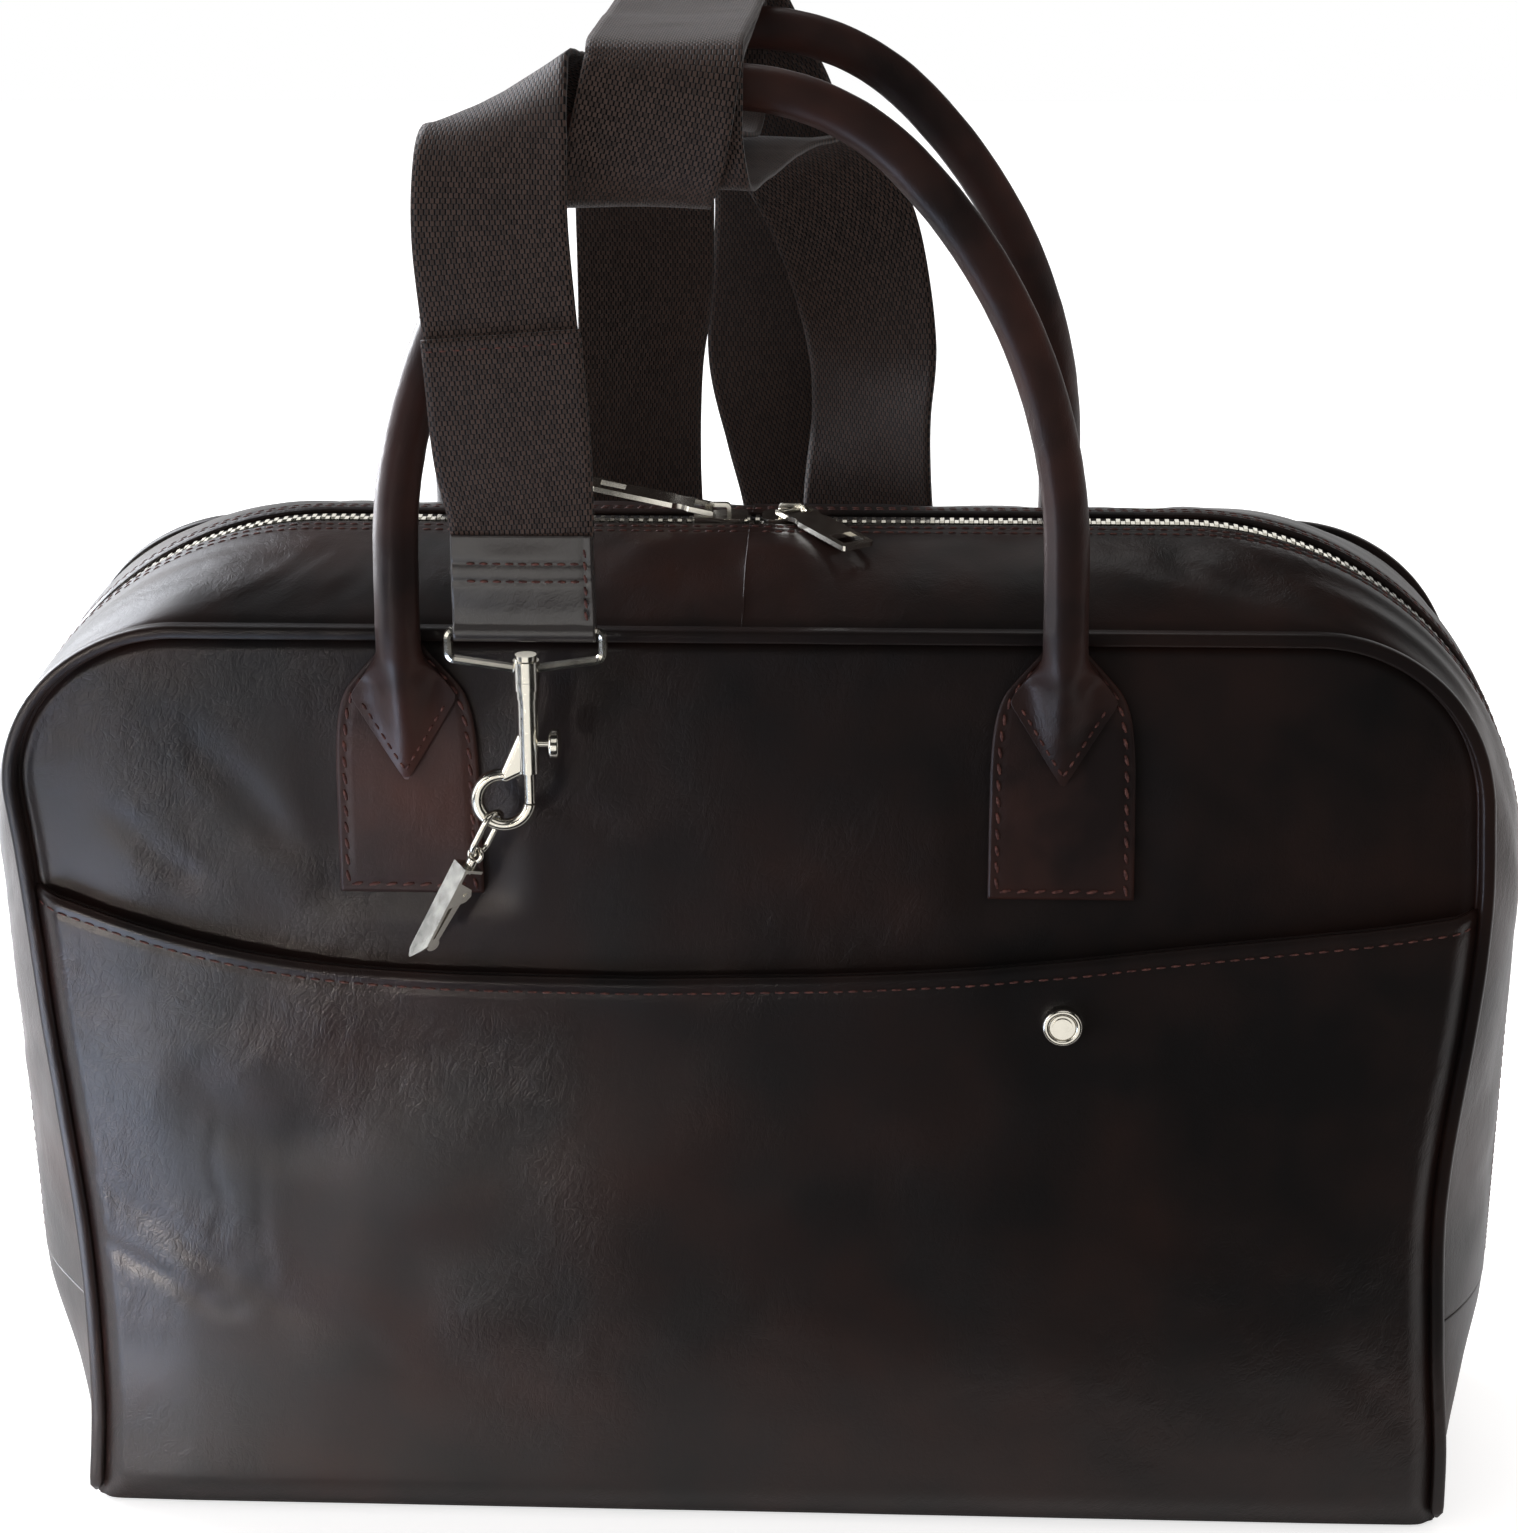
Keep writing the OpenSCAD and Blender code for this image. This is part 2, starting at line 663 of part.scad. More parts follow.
// Leather rolled round the core, with round ends that rest in the tabs
module handle_sleeve() {
  r = handle_d / 2;
  n = len(handle_line) - 1;
  color(leather) in_handle_plane() hollow_skin(
    concat(ball_rings(handle_line[0], r, core_r, rope_sides, -1),
      [for (p = handle_line) round_ring(p, r, rope_sides)],
      ball_rings(handle_line[n], r, core_r, rope_sides, 1)),
    rope_rings(core_r - run_gap, seat_depth));
}

module handle_core() {
  color(card) in_handle_plane() skin(rope_rings(core_r - 2 * run_gap, seat_depth));
}

module handle_front() { handle_sleeve(); }
module handle_back() { front_back(true) handle_sleeve(); }
module handle_front_core() { handle_core(); }
module handle_back_core() { front_back(true) handle_core(); }

patch_t = leather_t;
patch_face = panel_face + patch_t;
tab_t = 2;
tab_tip_z = patch_z + tab_lift;
tab_wide_z = tab_tip_z + tab_point;
tab_neck_h = handle_d;

// Flattened end of a handle: a neck with a round seat that runs down to a pointed tip
module handle_tab() {
  color(leather) difference() {
    union() {
      translate([0, -handle_y, handle_z - tab_neck_h]) cylinder(d = handle_d, h = tab_neck_h);
      hull() {
        translate([0, -handle_y, handle_z - tab_neck_h]) cylinder(d = handle_d, h = 1, $fn = 32);
        upright(-patch_face - tab_t, -patch_face)
          polygon([[0, tab_tip_z], [tab_half, tab_wide_z - 4], [tab_half - 2, tab_wide_z],
            [2 - tab_half, tab_wide_z], [-tab_half, tab_wide_z - 4]]);
      }
    }
    translate([0, -handle_y, handle_z]) sphere(r = handle_d / 2 + seam_gap);
  }
}

module at_feet() {
  for (s = [-1, 1]) translate([handle_shift + s * handle_x, 0, 0]) children();
}

module handle_tabs_front() { at_feet() handle_tab(); }
module handle_tabs_back() { front_back(true) at_feet() handle_tab(); }

// Stitched patch with round shoulders that hug the foot of the handle
module patch() {
  top = handle_z - handle_d * 0.7;
  shoulder_z = patch_z + patch_h;
  steps = 6;
  half = patch_w / 2 - 1.7;
  color(leather) upright(-patch_face, -panel_face) polygon(concat(
    [[patch_w / 2, patch_z]],
    [for (i = [0:steps]) let (a = 90 * i / steps)
      [handle_d / 2 + (half - handle_d / 2) * cos(a), shoulder_z + (top - shoulder_z) * sin(a)]],
    [for (i = [steps:-1:0]) let (a = 90 * i / steps)
      [-handle_d / 2 - (half - handle_d / 2) * cos(a), shoulder_z + (top - shoulder_z) * sin(a)]],
    [[-patch_w / 2, patch_z]]));
}

module patches_front() { at_feet() patch(); }
module patches_back() { front_back(true) at_feet() patch(); }

// ---- Strap ----

// Height of the loop's bar at the strap's front and rear end
front_bar = [-56, -70, handle_z + 1];
rear_bar = [-40, 72, handle_z - 84];
hem_scale = 0.92;

// The webbing's middle line from its front end to its rear end: place, with Z from the
// handles' feet, then width direction. It goes up the front, folds over the front handle, turns round both
// handles, drops behind the bag, comes up again, turns round them once more and
// drops behind the bag to its rear end.
strap_route = [
  [-56, -70, 5, hem_scale, 0, 0], [-56, -70, 30, hem_scale, 0, 0], [-58, -70, 50, 1, 0, 0],
  [-60, -70, 80, 1, 0, 0], [-62, -69, 105, 1, 0, 0.1], [-62, -66, 122, 0.95, 0, 0.3],
  [-61, -60, 134, 0.9, 0, 0.43], [-59, -50, 139, 0.87, 0, 0.5], [-54, -41, 134, 0.75, 0, 0.65],
  [-46, -36, 128, 0.6, 0, 0.8], [-36, -30, 122, 0.7, 0, 0.7], [-26, -16, 118, 0.9, 0, 0.4],
  [-19, 8, 116.5, 1, 0, 0.1], [-18, 30, 116.5, 1, 0, 0], [-18, 50, 118.5, 1, 0, 0],
  [-18, 56.5, 122.5, 1, 0, 0], [-18, 58, 130, 1, 0, 0], [-18, 57.5, 139, 1, 0, 0],
  [-18, 54, 146, 1, 0, 0], [-18, 46, 148.5, 1, 0, 0], [-18, 0, 148.6, 1, 0, 0],
  [-18, -46, 148.5, 1, 0, 0], [-18, -54, 146, 1, 0, 0], [-18, -57.5, 138, 1, 0, 0],
  [-18, -58, 128, 1, 0, 0], [-17, -55, 119, 1, 0, 0], [-16, -46, 114, 1, 0, 0],
  [-13, -20, 112.5, 1, 0, 0], [-8, 10, 112, 1, 0, 0], [-2, 36, 111, 1, -0.1, 0],
  [5, 52, 107.5, 1, -0.1, 0], [13, 62, 100, 1, 0, 0.1], [20, 67, 88, 1, 0, 0.2],
  [26, 69, 72, 1, 0, 0.15], [31, 70, 46, 0.95, -0.3, 0], [31, 70, 24, 0.87, -0.5, 0],
  [30, 70, -2, 0.95, -0.3, 0], [31, 70, -25, 1, 0, 0], [30, 71, -40, 1, 0, 0],
  [27, 75, -51, 1, 0, 0], [23, 80, -55, 1, 0, 0], [18, 86, -51, 1, 0, 0],
  [15, 89, -40, 1, 0, 0], [12, 90, -8, 1, 0, 0.1], [7, 89, 14, 1, 0, 0.1],
  [2, 88, 38, 1, 0, 0], [4, 85, 66, 1, 0, 0], [5, 79, 90, 1, 0, 0],
  [1, 71, 112, 1, 0, 0.2], [-6, 65, 128, 1, 0, 0.2], [-11, 62, 140, 1, 0, 0.1],
  [-14, 57, 148.5, 1, 0, 0], [-16, 46, 151.8, 1, 0, 0], [-17, 0, 152.2, 1, 0, 0],
  [-18, -46, 151.8, 1, 0, 0], [-18, -57, 148.5, 1, 0, 0], [-19.5, -61.5, 140, 1, 0, 0.1],
  [-22, -62, 128, 1, 0, 0.15], [-25, -59, 117, 1, 0, 0.1], [-27, -50, 110, 1, 0, 0],
  [-28, -25, 108.3, 1, 0, 0], [-30, 8, 108, 1, 0, 0], [-32, 36, 106.8, 1, 0, 0],
  [-33, 54, 103, 1, 0, 0], [-34, 64, 94, 1, 0, 0], [-34.5, 69, 80, 1, 0, 0],
  [-35, 72, 60, 0.97, 0.2, 0], [-37, 73, 35, 0.87, 0.5, 0], [-38, 73, 10, 0.87, 0.5, 0],
  [-39, 73, -15, 0.97, 0.25, 0], [-40, 72, -38, 1, 0, 0], [-40, 72, -56, hem_scale, 0, 0],
  [-40, 72, -80, hem_scale, 0, 0]];

function unit(v) = v / norm(v);
function place(p) = [p[0], p[1], handle_z + p[2]];
function across(p) = [p[3], p[4], p[5]];

// Smooth curve through the route between station i and the next
function route_at(i, t) =
  let (n = len(strap_route) - 1, a = strap_route[max(i - 1, 0)], b = strap_route[i],
       c = strap_route[min(i + 1, n)], d = strap_route[min(i + 2, n)])
  b + t * ((c - a) / 2 + t * ((a - 2.5 * b + 2 * c - d / 2) + t * (1.5 * b - 1.5 * c + (d - a) / 2)));

module strap_webbing() {
  fine = 2;
  n = len(strap_route) - 1;
  line = [for (i = [0:n * fine]) let (k = min(floor(i / fine), n - 1)) route_at(k, i / fine - k)];
  last = len(line) - 1;
  color(woven) skin([for (i = [0:last])
    let (along = unit(place(line[min(i + 1, last)]) - place(line[max(i - 1, 0)])),
         side = across(line[i]), level = side - along * (side * along),
         w = unit(level) * norm(side) * strap_w / 2, t = unit(cross(along, w)) * strap_t / 2,
         c = place(line[i]))
    [c - w - t, c + w - t, c + w + t, c - w + t]]);
}

// Leather folded round the loop's bar and sewn on both sides of the webbing
module chape() {
  slit = strap_t / 2 + run_gap;
  eye = loop_wire / 2 + run_gap * 2;
  color(leather) rotate([90, 0, 90]) linear_extrude(chape_w, center = true) difference() {
    union() {
      circle(r = eye + chape_t);
      translate([-slit - chape_t, 0]) square([2 * (slit + chape_t), chape_h]);
    }
    circle(r = eye);
    translate([-slit, 0]) square([2 * slit, chape_h + 1]);
  }
}

loop_arm = 8;
loop_vee = 2.8;
boss_d = 7;
boss_h = 5.5;
boss_z = -loop_arm - loop_vee;
corner_x = (loop_w + loop_wire) / 2;

// Bent wire of one side of the loop as [x, z, angle of the outward direction]
bend_r = loop_wire * 0.8;
leg_turn = atan(loop_vee / (corner_x - bend_r));
loop_side = concat(
  [for (a = [90:-15:0]) [corner_x + bend_r * (cos(a) - 1), bend_r * (sin(a) - 1), a]],
  [for (a = [0:-15:leg_turn - 90]) [corner_x + bend_r * (cos(a) - 1), bend_r * (sin(a) + 1) - loop_arm, a]]);
wire_sides = 8;

// Wire loop hanging from its bar, with a boss for the swivel
module wire_loop() {
  bar_half = corner_x - bend_r;
  slim = loop_wire / 2 - run_gap / 4;
  leg_end = [boss_d / 4, boss_z + loop_vee / 8];
  color(nickel) difference() {
    union() {
      rotate([0, 90, 0]) cylinder(d = loop_wire, h = 2 * bar_half, center = true);
      both_sides() skin([for (p = concat(
          [[bar_half - bend_r / 2, 0, 90]], loop_side, [[leg_end[0], leg_end[1], leg_turn - 90]]))
        round_ring(p, slim, wire_sides)]);
      translate([0, 0, boss_z - boss_h / 2]) cylinder(d = boss_d, h = boss_h);
    }
    translate([0, 0, boss_z - boss_h]) cylinder(d = swivel_d + 2 * run_gap, h = 2 * boss_h);
  }
}

ring_mean = ring_r - ring_wire / 2;
tip_turn = 8;
collar_h = 2.4;
neck_top = -boss_h / 2 - run_gap - 2 * collar_h;
neck_end = -hook_drop + 8;
button_z = -20.5;
stem_d = 2;
bolt_tip = -hook_drop - ring_mean * tan(tip_turn) + 0.4;
bolt_top = button_z + stem_d;
bore_top = neck_top - 1.5;

module ring_arc(from, to, r, d) {
  rotate([90, 0, 0]) rotate([0, 0, from]) rotate_extrude(angle = to - from) translate([r, 0]) circle(d = d);
}

// Hook with the swivel's middle at the origin, hanging down, its ring towards -X
module hook() {
  color(nickel) difference() {
    union() {
      translate([0, 0, -boss_h / 2 - 1]) cylinder(d = swivel_d, h = boss_h + 2);
      translate([0, 0, boss_h / 2 + run_gap]) cylinder(d = swivel_d * 1.9, h = 1.5);
      translate([0, 0, -boss_h / 2 - run_gap - collar_h]) cylinder(d = boss_d, h = collar_h);
      translate([0, 0, neck_top]) cylinder(d = boss_d - 0.8, h = collar_h);
      translate([0, 0, neck_end]) cylinder(d = neck_d, h = neck_top - neck_end);
      hull() {
        translate([-neck_d * 0.2, 0, button_z + 2]) sphere(r = neck_d * 0.36, $fn = 24);
        translate([-neck_d * 0.35, 0, neck_end + 1]) sphere(r = ring_wire / 2, $fn = 24);
        translate([-ring_mean * 0.9, 0, -hook_drop + ring_mean - 0.3]) sphere(r = ring_wire / 2, $fn = 24);
      }
      translate([-ring_mean, 0, -hook_drop]) ring_arc(80, 360 - tip_turn, ring_mean, ring_wire);
    }
    translate([0, 0, neck_end - 5]) cylinder(d = bolt_d + 2 * run_gap, h = bore_top - neck_end + 5);
    translate([0, -stem_d / 2 - run_gap, button_z - stem_d])
      cube([neck_d, stem_d + 2 * run_gap, bolt_travel + 2 * stem_d]);
  }
}

// Sliding bolt that closes the ring, with its thumb button
module bolt() {
  button_t = 2.8;
  button_x = neck_d;
  edge = 0.8;
  color(nickel) {
    translate([0, 0, bolt_tip]) cylinder(d = bolt_d, h = bolt_top - bolt_tip);
    translate([0, 0, button_z]) rotate([0, 90, 0]) {
      cylinder(d = stem_d, h = button_x + 1);
      translate([0, 0, button_x]) rotate_extrude() {
        square([button_d / 2 - edge, button_t]);
        translate([0, edge]) square([button_d / 2, button_t - 2 * edge]);
        for (z = [edge, button_t - edge]) translate([button_d / 2 - edge, z]) circle(r = edge);
      }
    }
  }
}

// Coil spring above the bolt
module bolt_spring() {
  turns = 5;
  steps = 8;
  wire_r = 0.25;
  r = bolt_d / 2 - wire_r;
  low = bolt_top + wire_r;
  high = bore_top - wire_r;
  color(nickel) skin([for (i = [0:turns * steps])
    let (a = 360 * i / steps, out = [cos(a), sin(a), 0], up = [0, 0, 1],
         c = r * out + up * (low + (high - low) * i / (turns * steps)))
    [for (k = [0:3]) c + wire_r * (cos(90 * k) * out + sin(90 * k) * up)]]);
}

module at_front_bar() { translate(front_bar) children(); }
module at_rear_bar() { translate(rear_bar) children(); }
module at_front_hook() { translate(front_bar + [0, 0, boss_z]) children(); }
module at_rear_hook() { translate(rear_bar + [0, 0, boss_z]) children(); }

module strap_end_front() { at_front_bar() chape(); }
module loop_front() { at_front_bar() wire_loop(); }
module hook_front() { at_front_hook() hook(); }
module bolt_front() { at_front_hook() bolt(); }
module bolt_spring_front() { at_front_hook() bolt_spring(); }
module strap_end_rear() { at_rear_bar() chape(); }
module loop_rear() { at_rear_bar() wire_loop(); }
module hook_rear() { at_rear_hook() hook(); }
module bolt_rear() { at_rear_hook() bolt(); }
module bolt_spring_rear() { at_rear_hook() bolt_spring(); }

// ---- Clip on the front hook ----

link_turn = 60;
link_half = 3.4;
link_straight = 6.6;
link_top = ring_wire / 2 + link_wire / 2 + 4 * run_gap;
link_low = link_top - 2 * link_half - link_straight;
eye_wire = 1.4;
eye_mean = 1.9;
eye_z = link_low + (link_wire + eye_wire) / 2 + 0.1 - eye_mean;
barrel_h = 1.6;
barrel_z = eye_z - eye_mean - barrel_h;
clip_top = barrel_z - run_gap;
post_d = 1.6;
clip_turn = 45;
ear_h = 6;
pin_z = clip_top - 8;
pin_x = 1;
pin_d = 1.5;

// From the middle of the ring's wire, with -Z along the hanging clip
module in_clip() {
  at_front_hook() translate([-ring_mean, 0, -hook_drop]) rotate([0, clip_lean, 0])
    translate([0, 0, -ring_mean]) children();
}

module clip_link() {
  color(nickel) in_clip() rotate([0, 0, link_turn]) {
    for (s = [-1, 1]) translate([s * link_half, 0, link_low + link_half])
      cylinder(d = link_wire, h = link_straight);
    translate([0, 0, link_top - link_half]) ring_arc(0, 180, link_half, link_wire);
    translate([0, 0, link_low + link_half]) ring_arc(180, 360, link_half, link_wire);
  }
}

// Small swivel: an eye on the link, a barrel and a post riveted below the clip's top
module clip_swivel() {
  color(nickel) in_clip() rotate([0, 0, link_turn + 90]) {
    translate([0, 0, eye_z]) ring_arc(0, 360, eye_mean, eye_wire);
    translate([0, 0, barrel_z]) cylinder(d = 3.4, h = barrel_h + 0.5);
    translate([0, 0, clip_top - clip_t - run_gap - 1]) cylinder(d = post_d, h = barrel_h + clip_t + 1.5);
    translate([0, 0, clip_top - clip_t - run_gap - 1]) cylinder(d = 3, h = 1);
  }
}

module in_clip_plate() { in_clip() rotate([0, 0, clip_turn]) children(); }

// Bent sheet: a long plate, a top flange with the swivel's hole, and two ears for the pin
module clip_body() {
  half = clip_w / 2;
  color(nickel) in_clip_plate() difference() {
    union() {
      translate([-half - clip_t, 0, clip_top]) rotate([90, 0, 90]) linear_extrude(clip_t)
        polygon([[-half, 0], [half, 0], [half, 2 - clip_l], [half - 1, -clip_l],
          [half - 1.5, -clip_l], [1 - half, 4 - clip_l], [-half, 6 - clip_l]]);
      translate([-half - clip_t, -half, clip_top - clip_t]) cube([clip_w + clip_t, clip_w, clip_t]);
      for (y = [-half, half - clip_t]) translate([0, y + clip_t, 0]) rotate([90, 0, 0]) linear_extrude(clip_t)
        polygon([[-half - clip_t, pin_z + ear_h / 2 + 1], [pin_x + 1, pin_z + ear_h / 2 - 1],
          [pin_x + 2, pin_z], [pin_x + 1, pin_z - ear_h / 2 + 1], [-half - clip_t, pin_z - ear_h / 2 - 2]]);
    }
    translate([0, 0, clip_top - 2 * clip_t]) cylinder(d = post_d + 2 * run_gap, h = 3 * clip_t);
    translate([pin_x, 0, pin_z]) rotate([90, 0, 0]) cylinder(d = pin_d, h = 2 * clip_w, center = true);
  }
}

module clip_pin() {
  color(nickel) in_clip_plate() translate([pin_x, 0, pin_z]) rotate([90, 0, 0])
    cylinder(d = pin_d, h = clip_w + 0.6, center = true);
}

// Lever that grips against the plate with its round end
module clip_lever() {
  half = clip_w / 2 - clip_t - seam_gap;
  end_r = 2;
  reach = clip_l - 14;
  end_x = end_r + seam_gap - clip_w / 2 - pin_x;
  color(nickel) in_clip_plate() translate([pin_x, 0, pin_z]) difference() {
    union() {
      rotate([90, 0, 0]) cylinder(r = pin_d, h = 2 * half, center = true);
      upright(-half, half)
        polygon([[-1, 0], [1.2, 0], [end_x + 1, -reach], [end_x - 0.6, -reach]]);
      translate([end_x, 0, -reach]) rotate([90, 0, 0]) cylinder(r = end_r, h = 2 * half, center = true);
    }
    rotate([90, 0, 0]) cylinder(d = pin_d + 2 * run_gap, h = 2 * clip_w, center = true);
  }
}

front_panel();
back_panel();
front_pocket();
base_panel();
base_board();
lining();
piping_front();
piping_back();
gusset_front_left();
gusset_front_right();
gusset_back_left();
gusset_back_right();
side_gusset_left();
side_gusset_right();
zip_tape_front();
zip_tape_back();
zip_teeth_front();
zip_teeth_back();
zip_stops();
slider_left();
slider_right();
puller_left();
puller_right();
handle_front();
handle_front_core();
handle_back();
handle_back_core();
handle_tabs_front();
handle_tabs_back();
patches_front();
patches_back();
pocket_stud();
pocket_stud_washer();
strap_webbing();
strap_end_front();
loop_front();
hook_front();
bolt_front();
bolt_spring_front();
strap_end_rear();
loop_rear();
hook_rear();
bolt_rear();
bolt_spring_rear();
clip_link();
clip_swivel();
clip_body();
clip_lever();
clip_pin();
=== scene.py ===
# %% [markdown]
# # A soft leather briefcase
# The bag is a box of soft calf leather with a zip round three sides, an open
# front pocket, two rolled handles, and a webbing shoulder strap wound round
# them. Its engineering model gives the hard parts and the true sizes. This
# lesson adds the soft parts and the finishes round it, one piece per step.

# %% Load the frame
import bisect
import math

import bpy
import bmesh
from mathutils import Matrix, Vector, noise


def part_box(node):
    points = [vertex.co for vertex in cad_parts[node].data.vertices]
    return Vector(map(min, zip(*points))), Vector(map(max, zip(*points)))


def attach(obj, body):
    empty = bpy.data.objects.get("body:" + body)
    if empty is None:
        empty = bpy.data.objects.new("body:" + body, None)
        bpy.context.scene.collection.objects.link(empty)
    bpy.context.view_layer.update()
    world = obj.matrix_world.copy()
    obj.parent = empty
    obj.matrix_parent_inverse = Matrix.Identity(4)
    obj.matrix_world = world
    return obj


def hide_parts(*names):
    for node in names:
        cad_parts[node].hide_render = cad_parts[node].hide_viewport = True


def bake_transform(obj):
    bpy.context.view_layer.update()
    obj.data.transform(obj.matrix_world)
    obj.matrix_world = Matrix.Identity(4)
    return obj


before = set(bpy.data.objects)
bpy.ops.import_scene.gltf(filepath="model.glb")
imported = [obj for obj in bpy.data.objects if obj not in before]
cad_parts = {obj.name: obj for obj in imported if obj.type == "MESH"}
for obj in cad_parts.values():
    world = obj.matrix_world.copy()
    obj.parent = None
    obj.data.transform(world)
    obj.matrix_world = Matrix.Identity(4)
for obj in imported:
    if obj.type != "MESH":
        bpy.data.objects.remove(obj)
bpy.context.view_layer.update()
MM = 0.001

# %% [markdown]
# ## Camera
# A bag this size is looked at from about a metre away and a little above, so
# its top shows as well as its front. The lens is worked out from the view
# angle, and the camera is rolled by half a degree, as a hand-held one is.

# %% Place the camera
def look_from(target, distance, azimuth, elevation, roll):
    """Turn of a camera that looks at target, and its place."""
    az, el = math.radians(azimuth), math.radians(elevation)
    back = Vector((math.sin(az) * math.cos(el), -math.cos(az) * math.cos(el), math.sin(el)))
    turn = back.to_track_quat("Z", "Y").to_matrix().to_4x4()
    return Matrix.Translation(target + back * distance) @ turn @ Matrix.Rotation(math.radians(roll), 4, "Z")


camera_data = bpy.data.cameras.new("camera")
camera = bpy.data.objects.new("camera", camera_data)
bpy.context.scene.collection.objects.link(camera)
camera_data.sensor_width = 36
camera_data.lens = 91.58
camera_data.clip_start, camera_data.clip_end = 0.05, 20
camera.matrix_world = look_from(Vector((0.0044, -0.055, 0.2285)), 1.05, 3.4, 19.6, -0.55)
bpy.context.scene.camera = camera

# %% [markdown]
# ## Small tools
# Colours are written as hex codes, as in a paint chart, and turned to linear
# light once. A shader node is added with one call that names its settings and
# what goes into its sockets: a value, or another node's output.

# %% Colour and node helpers
def shade(code):
    """A hex colour as linear red, green, blue and alpha."""
    parts = [int(code[i : i + 2], 16) / 255 for i in (1, 3, 5)]
    return [c / 12.92 if c <= 0.04045 else ((c + 0.055) / 1.055) ** 2.4 for c in parts] + [1]


def feed(tree, node, values):
    """Sets a node's sockets: a socket or a node (its first output) is linked, and anything else is a value."""
    for name, value in values.items():
        if isinstance(value, bpy.types.Node):
            value = value.outputs[0]
        if isinstance(value, bpy.types.NodeSocket):
            tree.links.new(value, node.inputs[name])
        else:
            node.inputs[name].default_value = value


def add_node(tree, kind, values=None, **settings):
    """A node with its settings and what goes into its sockets."""
    node = tree.nodes.new("ShaderNode" + kind)
    for name, value in settings.items():
        setattr(node, name, value)
    feed(tree, node, values or {})
    return node


def add_range(tree, source, low, high, to_low=0.0, to_high=1.0):
    """Takes low to high of a source to to_low to to_high."""
    return add_node(tree, "MapRange", {"Value": source, "From Min": low, "From Max": high,
                                       "To Min": to_low, "To Max": to_high})


def add_ramp(tree, source, stops):
    """A colour ramp with (place, hex colour) stops."""
    node = add_node(tree, "ValToRGB", {"Fac": source})
    for element, (place, code) in zip(node.color_ramp.elements, stops):
        element.position, element.color = place, shade(code)
    return node


def add_noise(tree, place, scale, detail, roughness=0.5):
    return add_node(tree, "TexNoise", {"Vector": place, "Scale": scale, "Detail": detail, "Roughness": roughness})


def add_product(tree, a, b):
    return add_node(tree, "Math", {0: a, 1: b}, operation="MULTIPLY")


def add_bump(tree, height, strength, distance, **normal):
    return add_node(tree, "Bump", {"Height": height, "Strength": strength, "Distance": distance, **normal})


def new_material(name):
    """An empty material with a Principled shader wired to its output."""
    material = bpy.data.materials.new(name)
    material.use_nodes = True
    material.node_tree.nodes.clear()
    shader = add_node(material.node_tree, "BsdfPrincipled")
    add_node(material.node_tree, "OutputMaterial", {"Surface": shader})
    return material, material.node_tree, shader


# %% [markdown]
# ## Light and background
# The bag stands on a pale floor in front of a bright window, so the air
# behind it is white and the room in front of it is dim. Rays from the camera,
# and those that metal reflects, see the white background. Soft lamps stand for
# the window, behind and on the left. Two small low ones in front of the left
# side lay a cool sheen on the left third of the leather.

# %% World, floor and lamps
def mirror_rays(tree, path):
    """1 for rays that come from a mirror or pass through glass."""
    return add_node(tree, "Math", {0: path.outputs["Is Glossy Ray"], 1: path.outputs["Is Transmission Ray"]},
                    operation="MAXIMUM")


world = bpy.data.worlds.new("daylight room")
bpy.context.scene.world = world
world.use_nodes = True
sky = world.node_tree
sky.nodes.clear()
path = add_node(sky, "LightPath")
towards = add_node(sky, "SeparateXYZ", {"Vector": add_node(sky, "TexCoord").outputs["Generated"]})
# the white wall stands behind the bag (+Y), ends a little above it and is shaded on the right (+X)
behind = add_range(sky, towards.outputs["Y"], 0.0, 0.3)
low = add_range(sky, towards.outputs["Z"], 0.3, 0.12, 0.02)
wide = add_range(sky, towards.outputs["X"], 0.5, 0.15, 0.12)
seen = add_product(sky, behind, low)
seen = add_product(sky, seen, wide)
mirrored = mirror_rays(sky, path)
ambient = add_node(sky, "Background", {"Color": shade("#f4f0ee"), "Strength": 0.9})
room = add_node(sky, "Background", {"Color": shade("#ffffff"), "Strength": seen})
white = add_node(sky, "Background", {"Color": shade("#ffffff"), "Strength": 1.0})
soft_or_room = add_node(sky, "MixShader", {0: mirrored, 1: ambient, 2: room})
mixed = add_node(sky, "MixShader", {0: path.outputs["Is Camera Ray"], 1: soft_or_room, 2: white})
add_node(sky, "OutputWorld", {"Surface": mixed})

bm = bmesh.new()
bmesh.ops.create_grid(bm, x_segments=1, y_segments=1, size=1)
bmesh.ops.scale(bm, vec=(2.2, 1.2, 1), verts=bm.verts)
bmesh.ops.translate(bm, vec=(0, 1.07, -0.0004), verts=bm.verts)
floor_mesh = bpy.data.meshes.new("floor")
bm.to_mesh(floor_mesh)
bm.free()
floor = bpy.data.objects.new("floor", floor_mesh)
bpy.context.scene.collection.objects.link(floor)

paper = bpy.data.materials.new("pale matt floor")
paper.use_nodes = True
tree = paper.node_tree
tree.nodes.clear()
path = add_node(tree, "LightPath")
mirrored = add_product(tree, mirror_rays(tree, path), 0.03)
glow = add_node(tree, "Math", {0: path.outputs["Is Camera Ray"], 1: 0.62, 2: mirrored}, operation="MULTIPLY_ADD")
lit = add_node(tree, "BsdfDiffuse", {"Color": shade("#d8d8d8")})
pale = add_node(tree, "Emission", {"Color": shade("#ffffff"), "Strength": glow})
add_node(tree, "OutputMaterial", {"Surface": add_node(tree, "AddShader", {0: lit, 1: pale})})
floor_mesh.materials.append(paper)


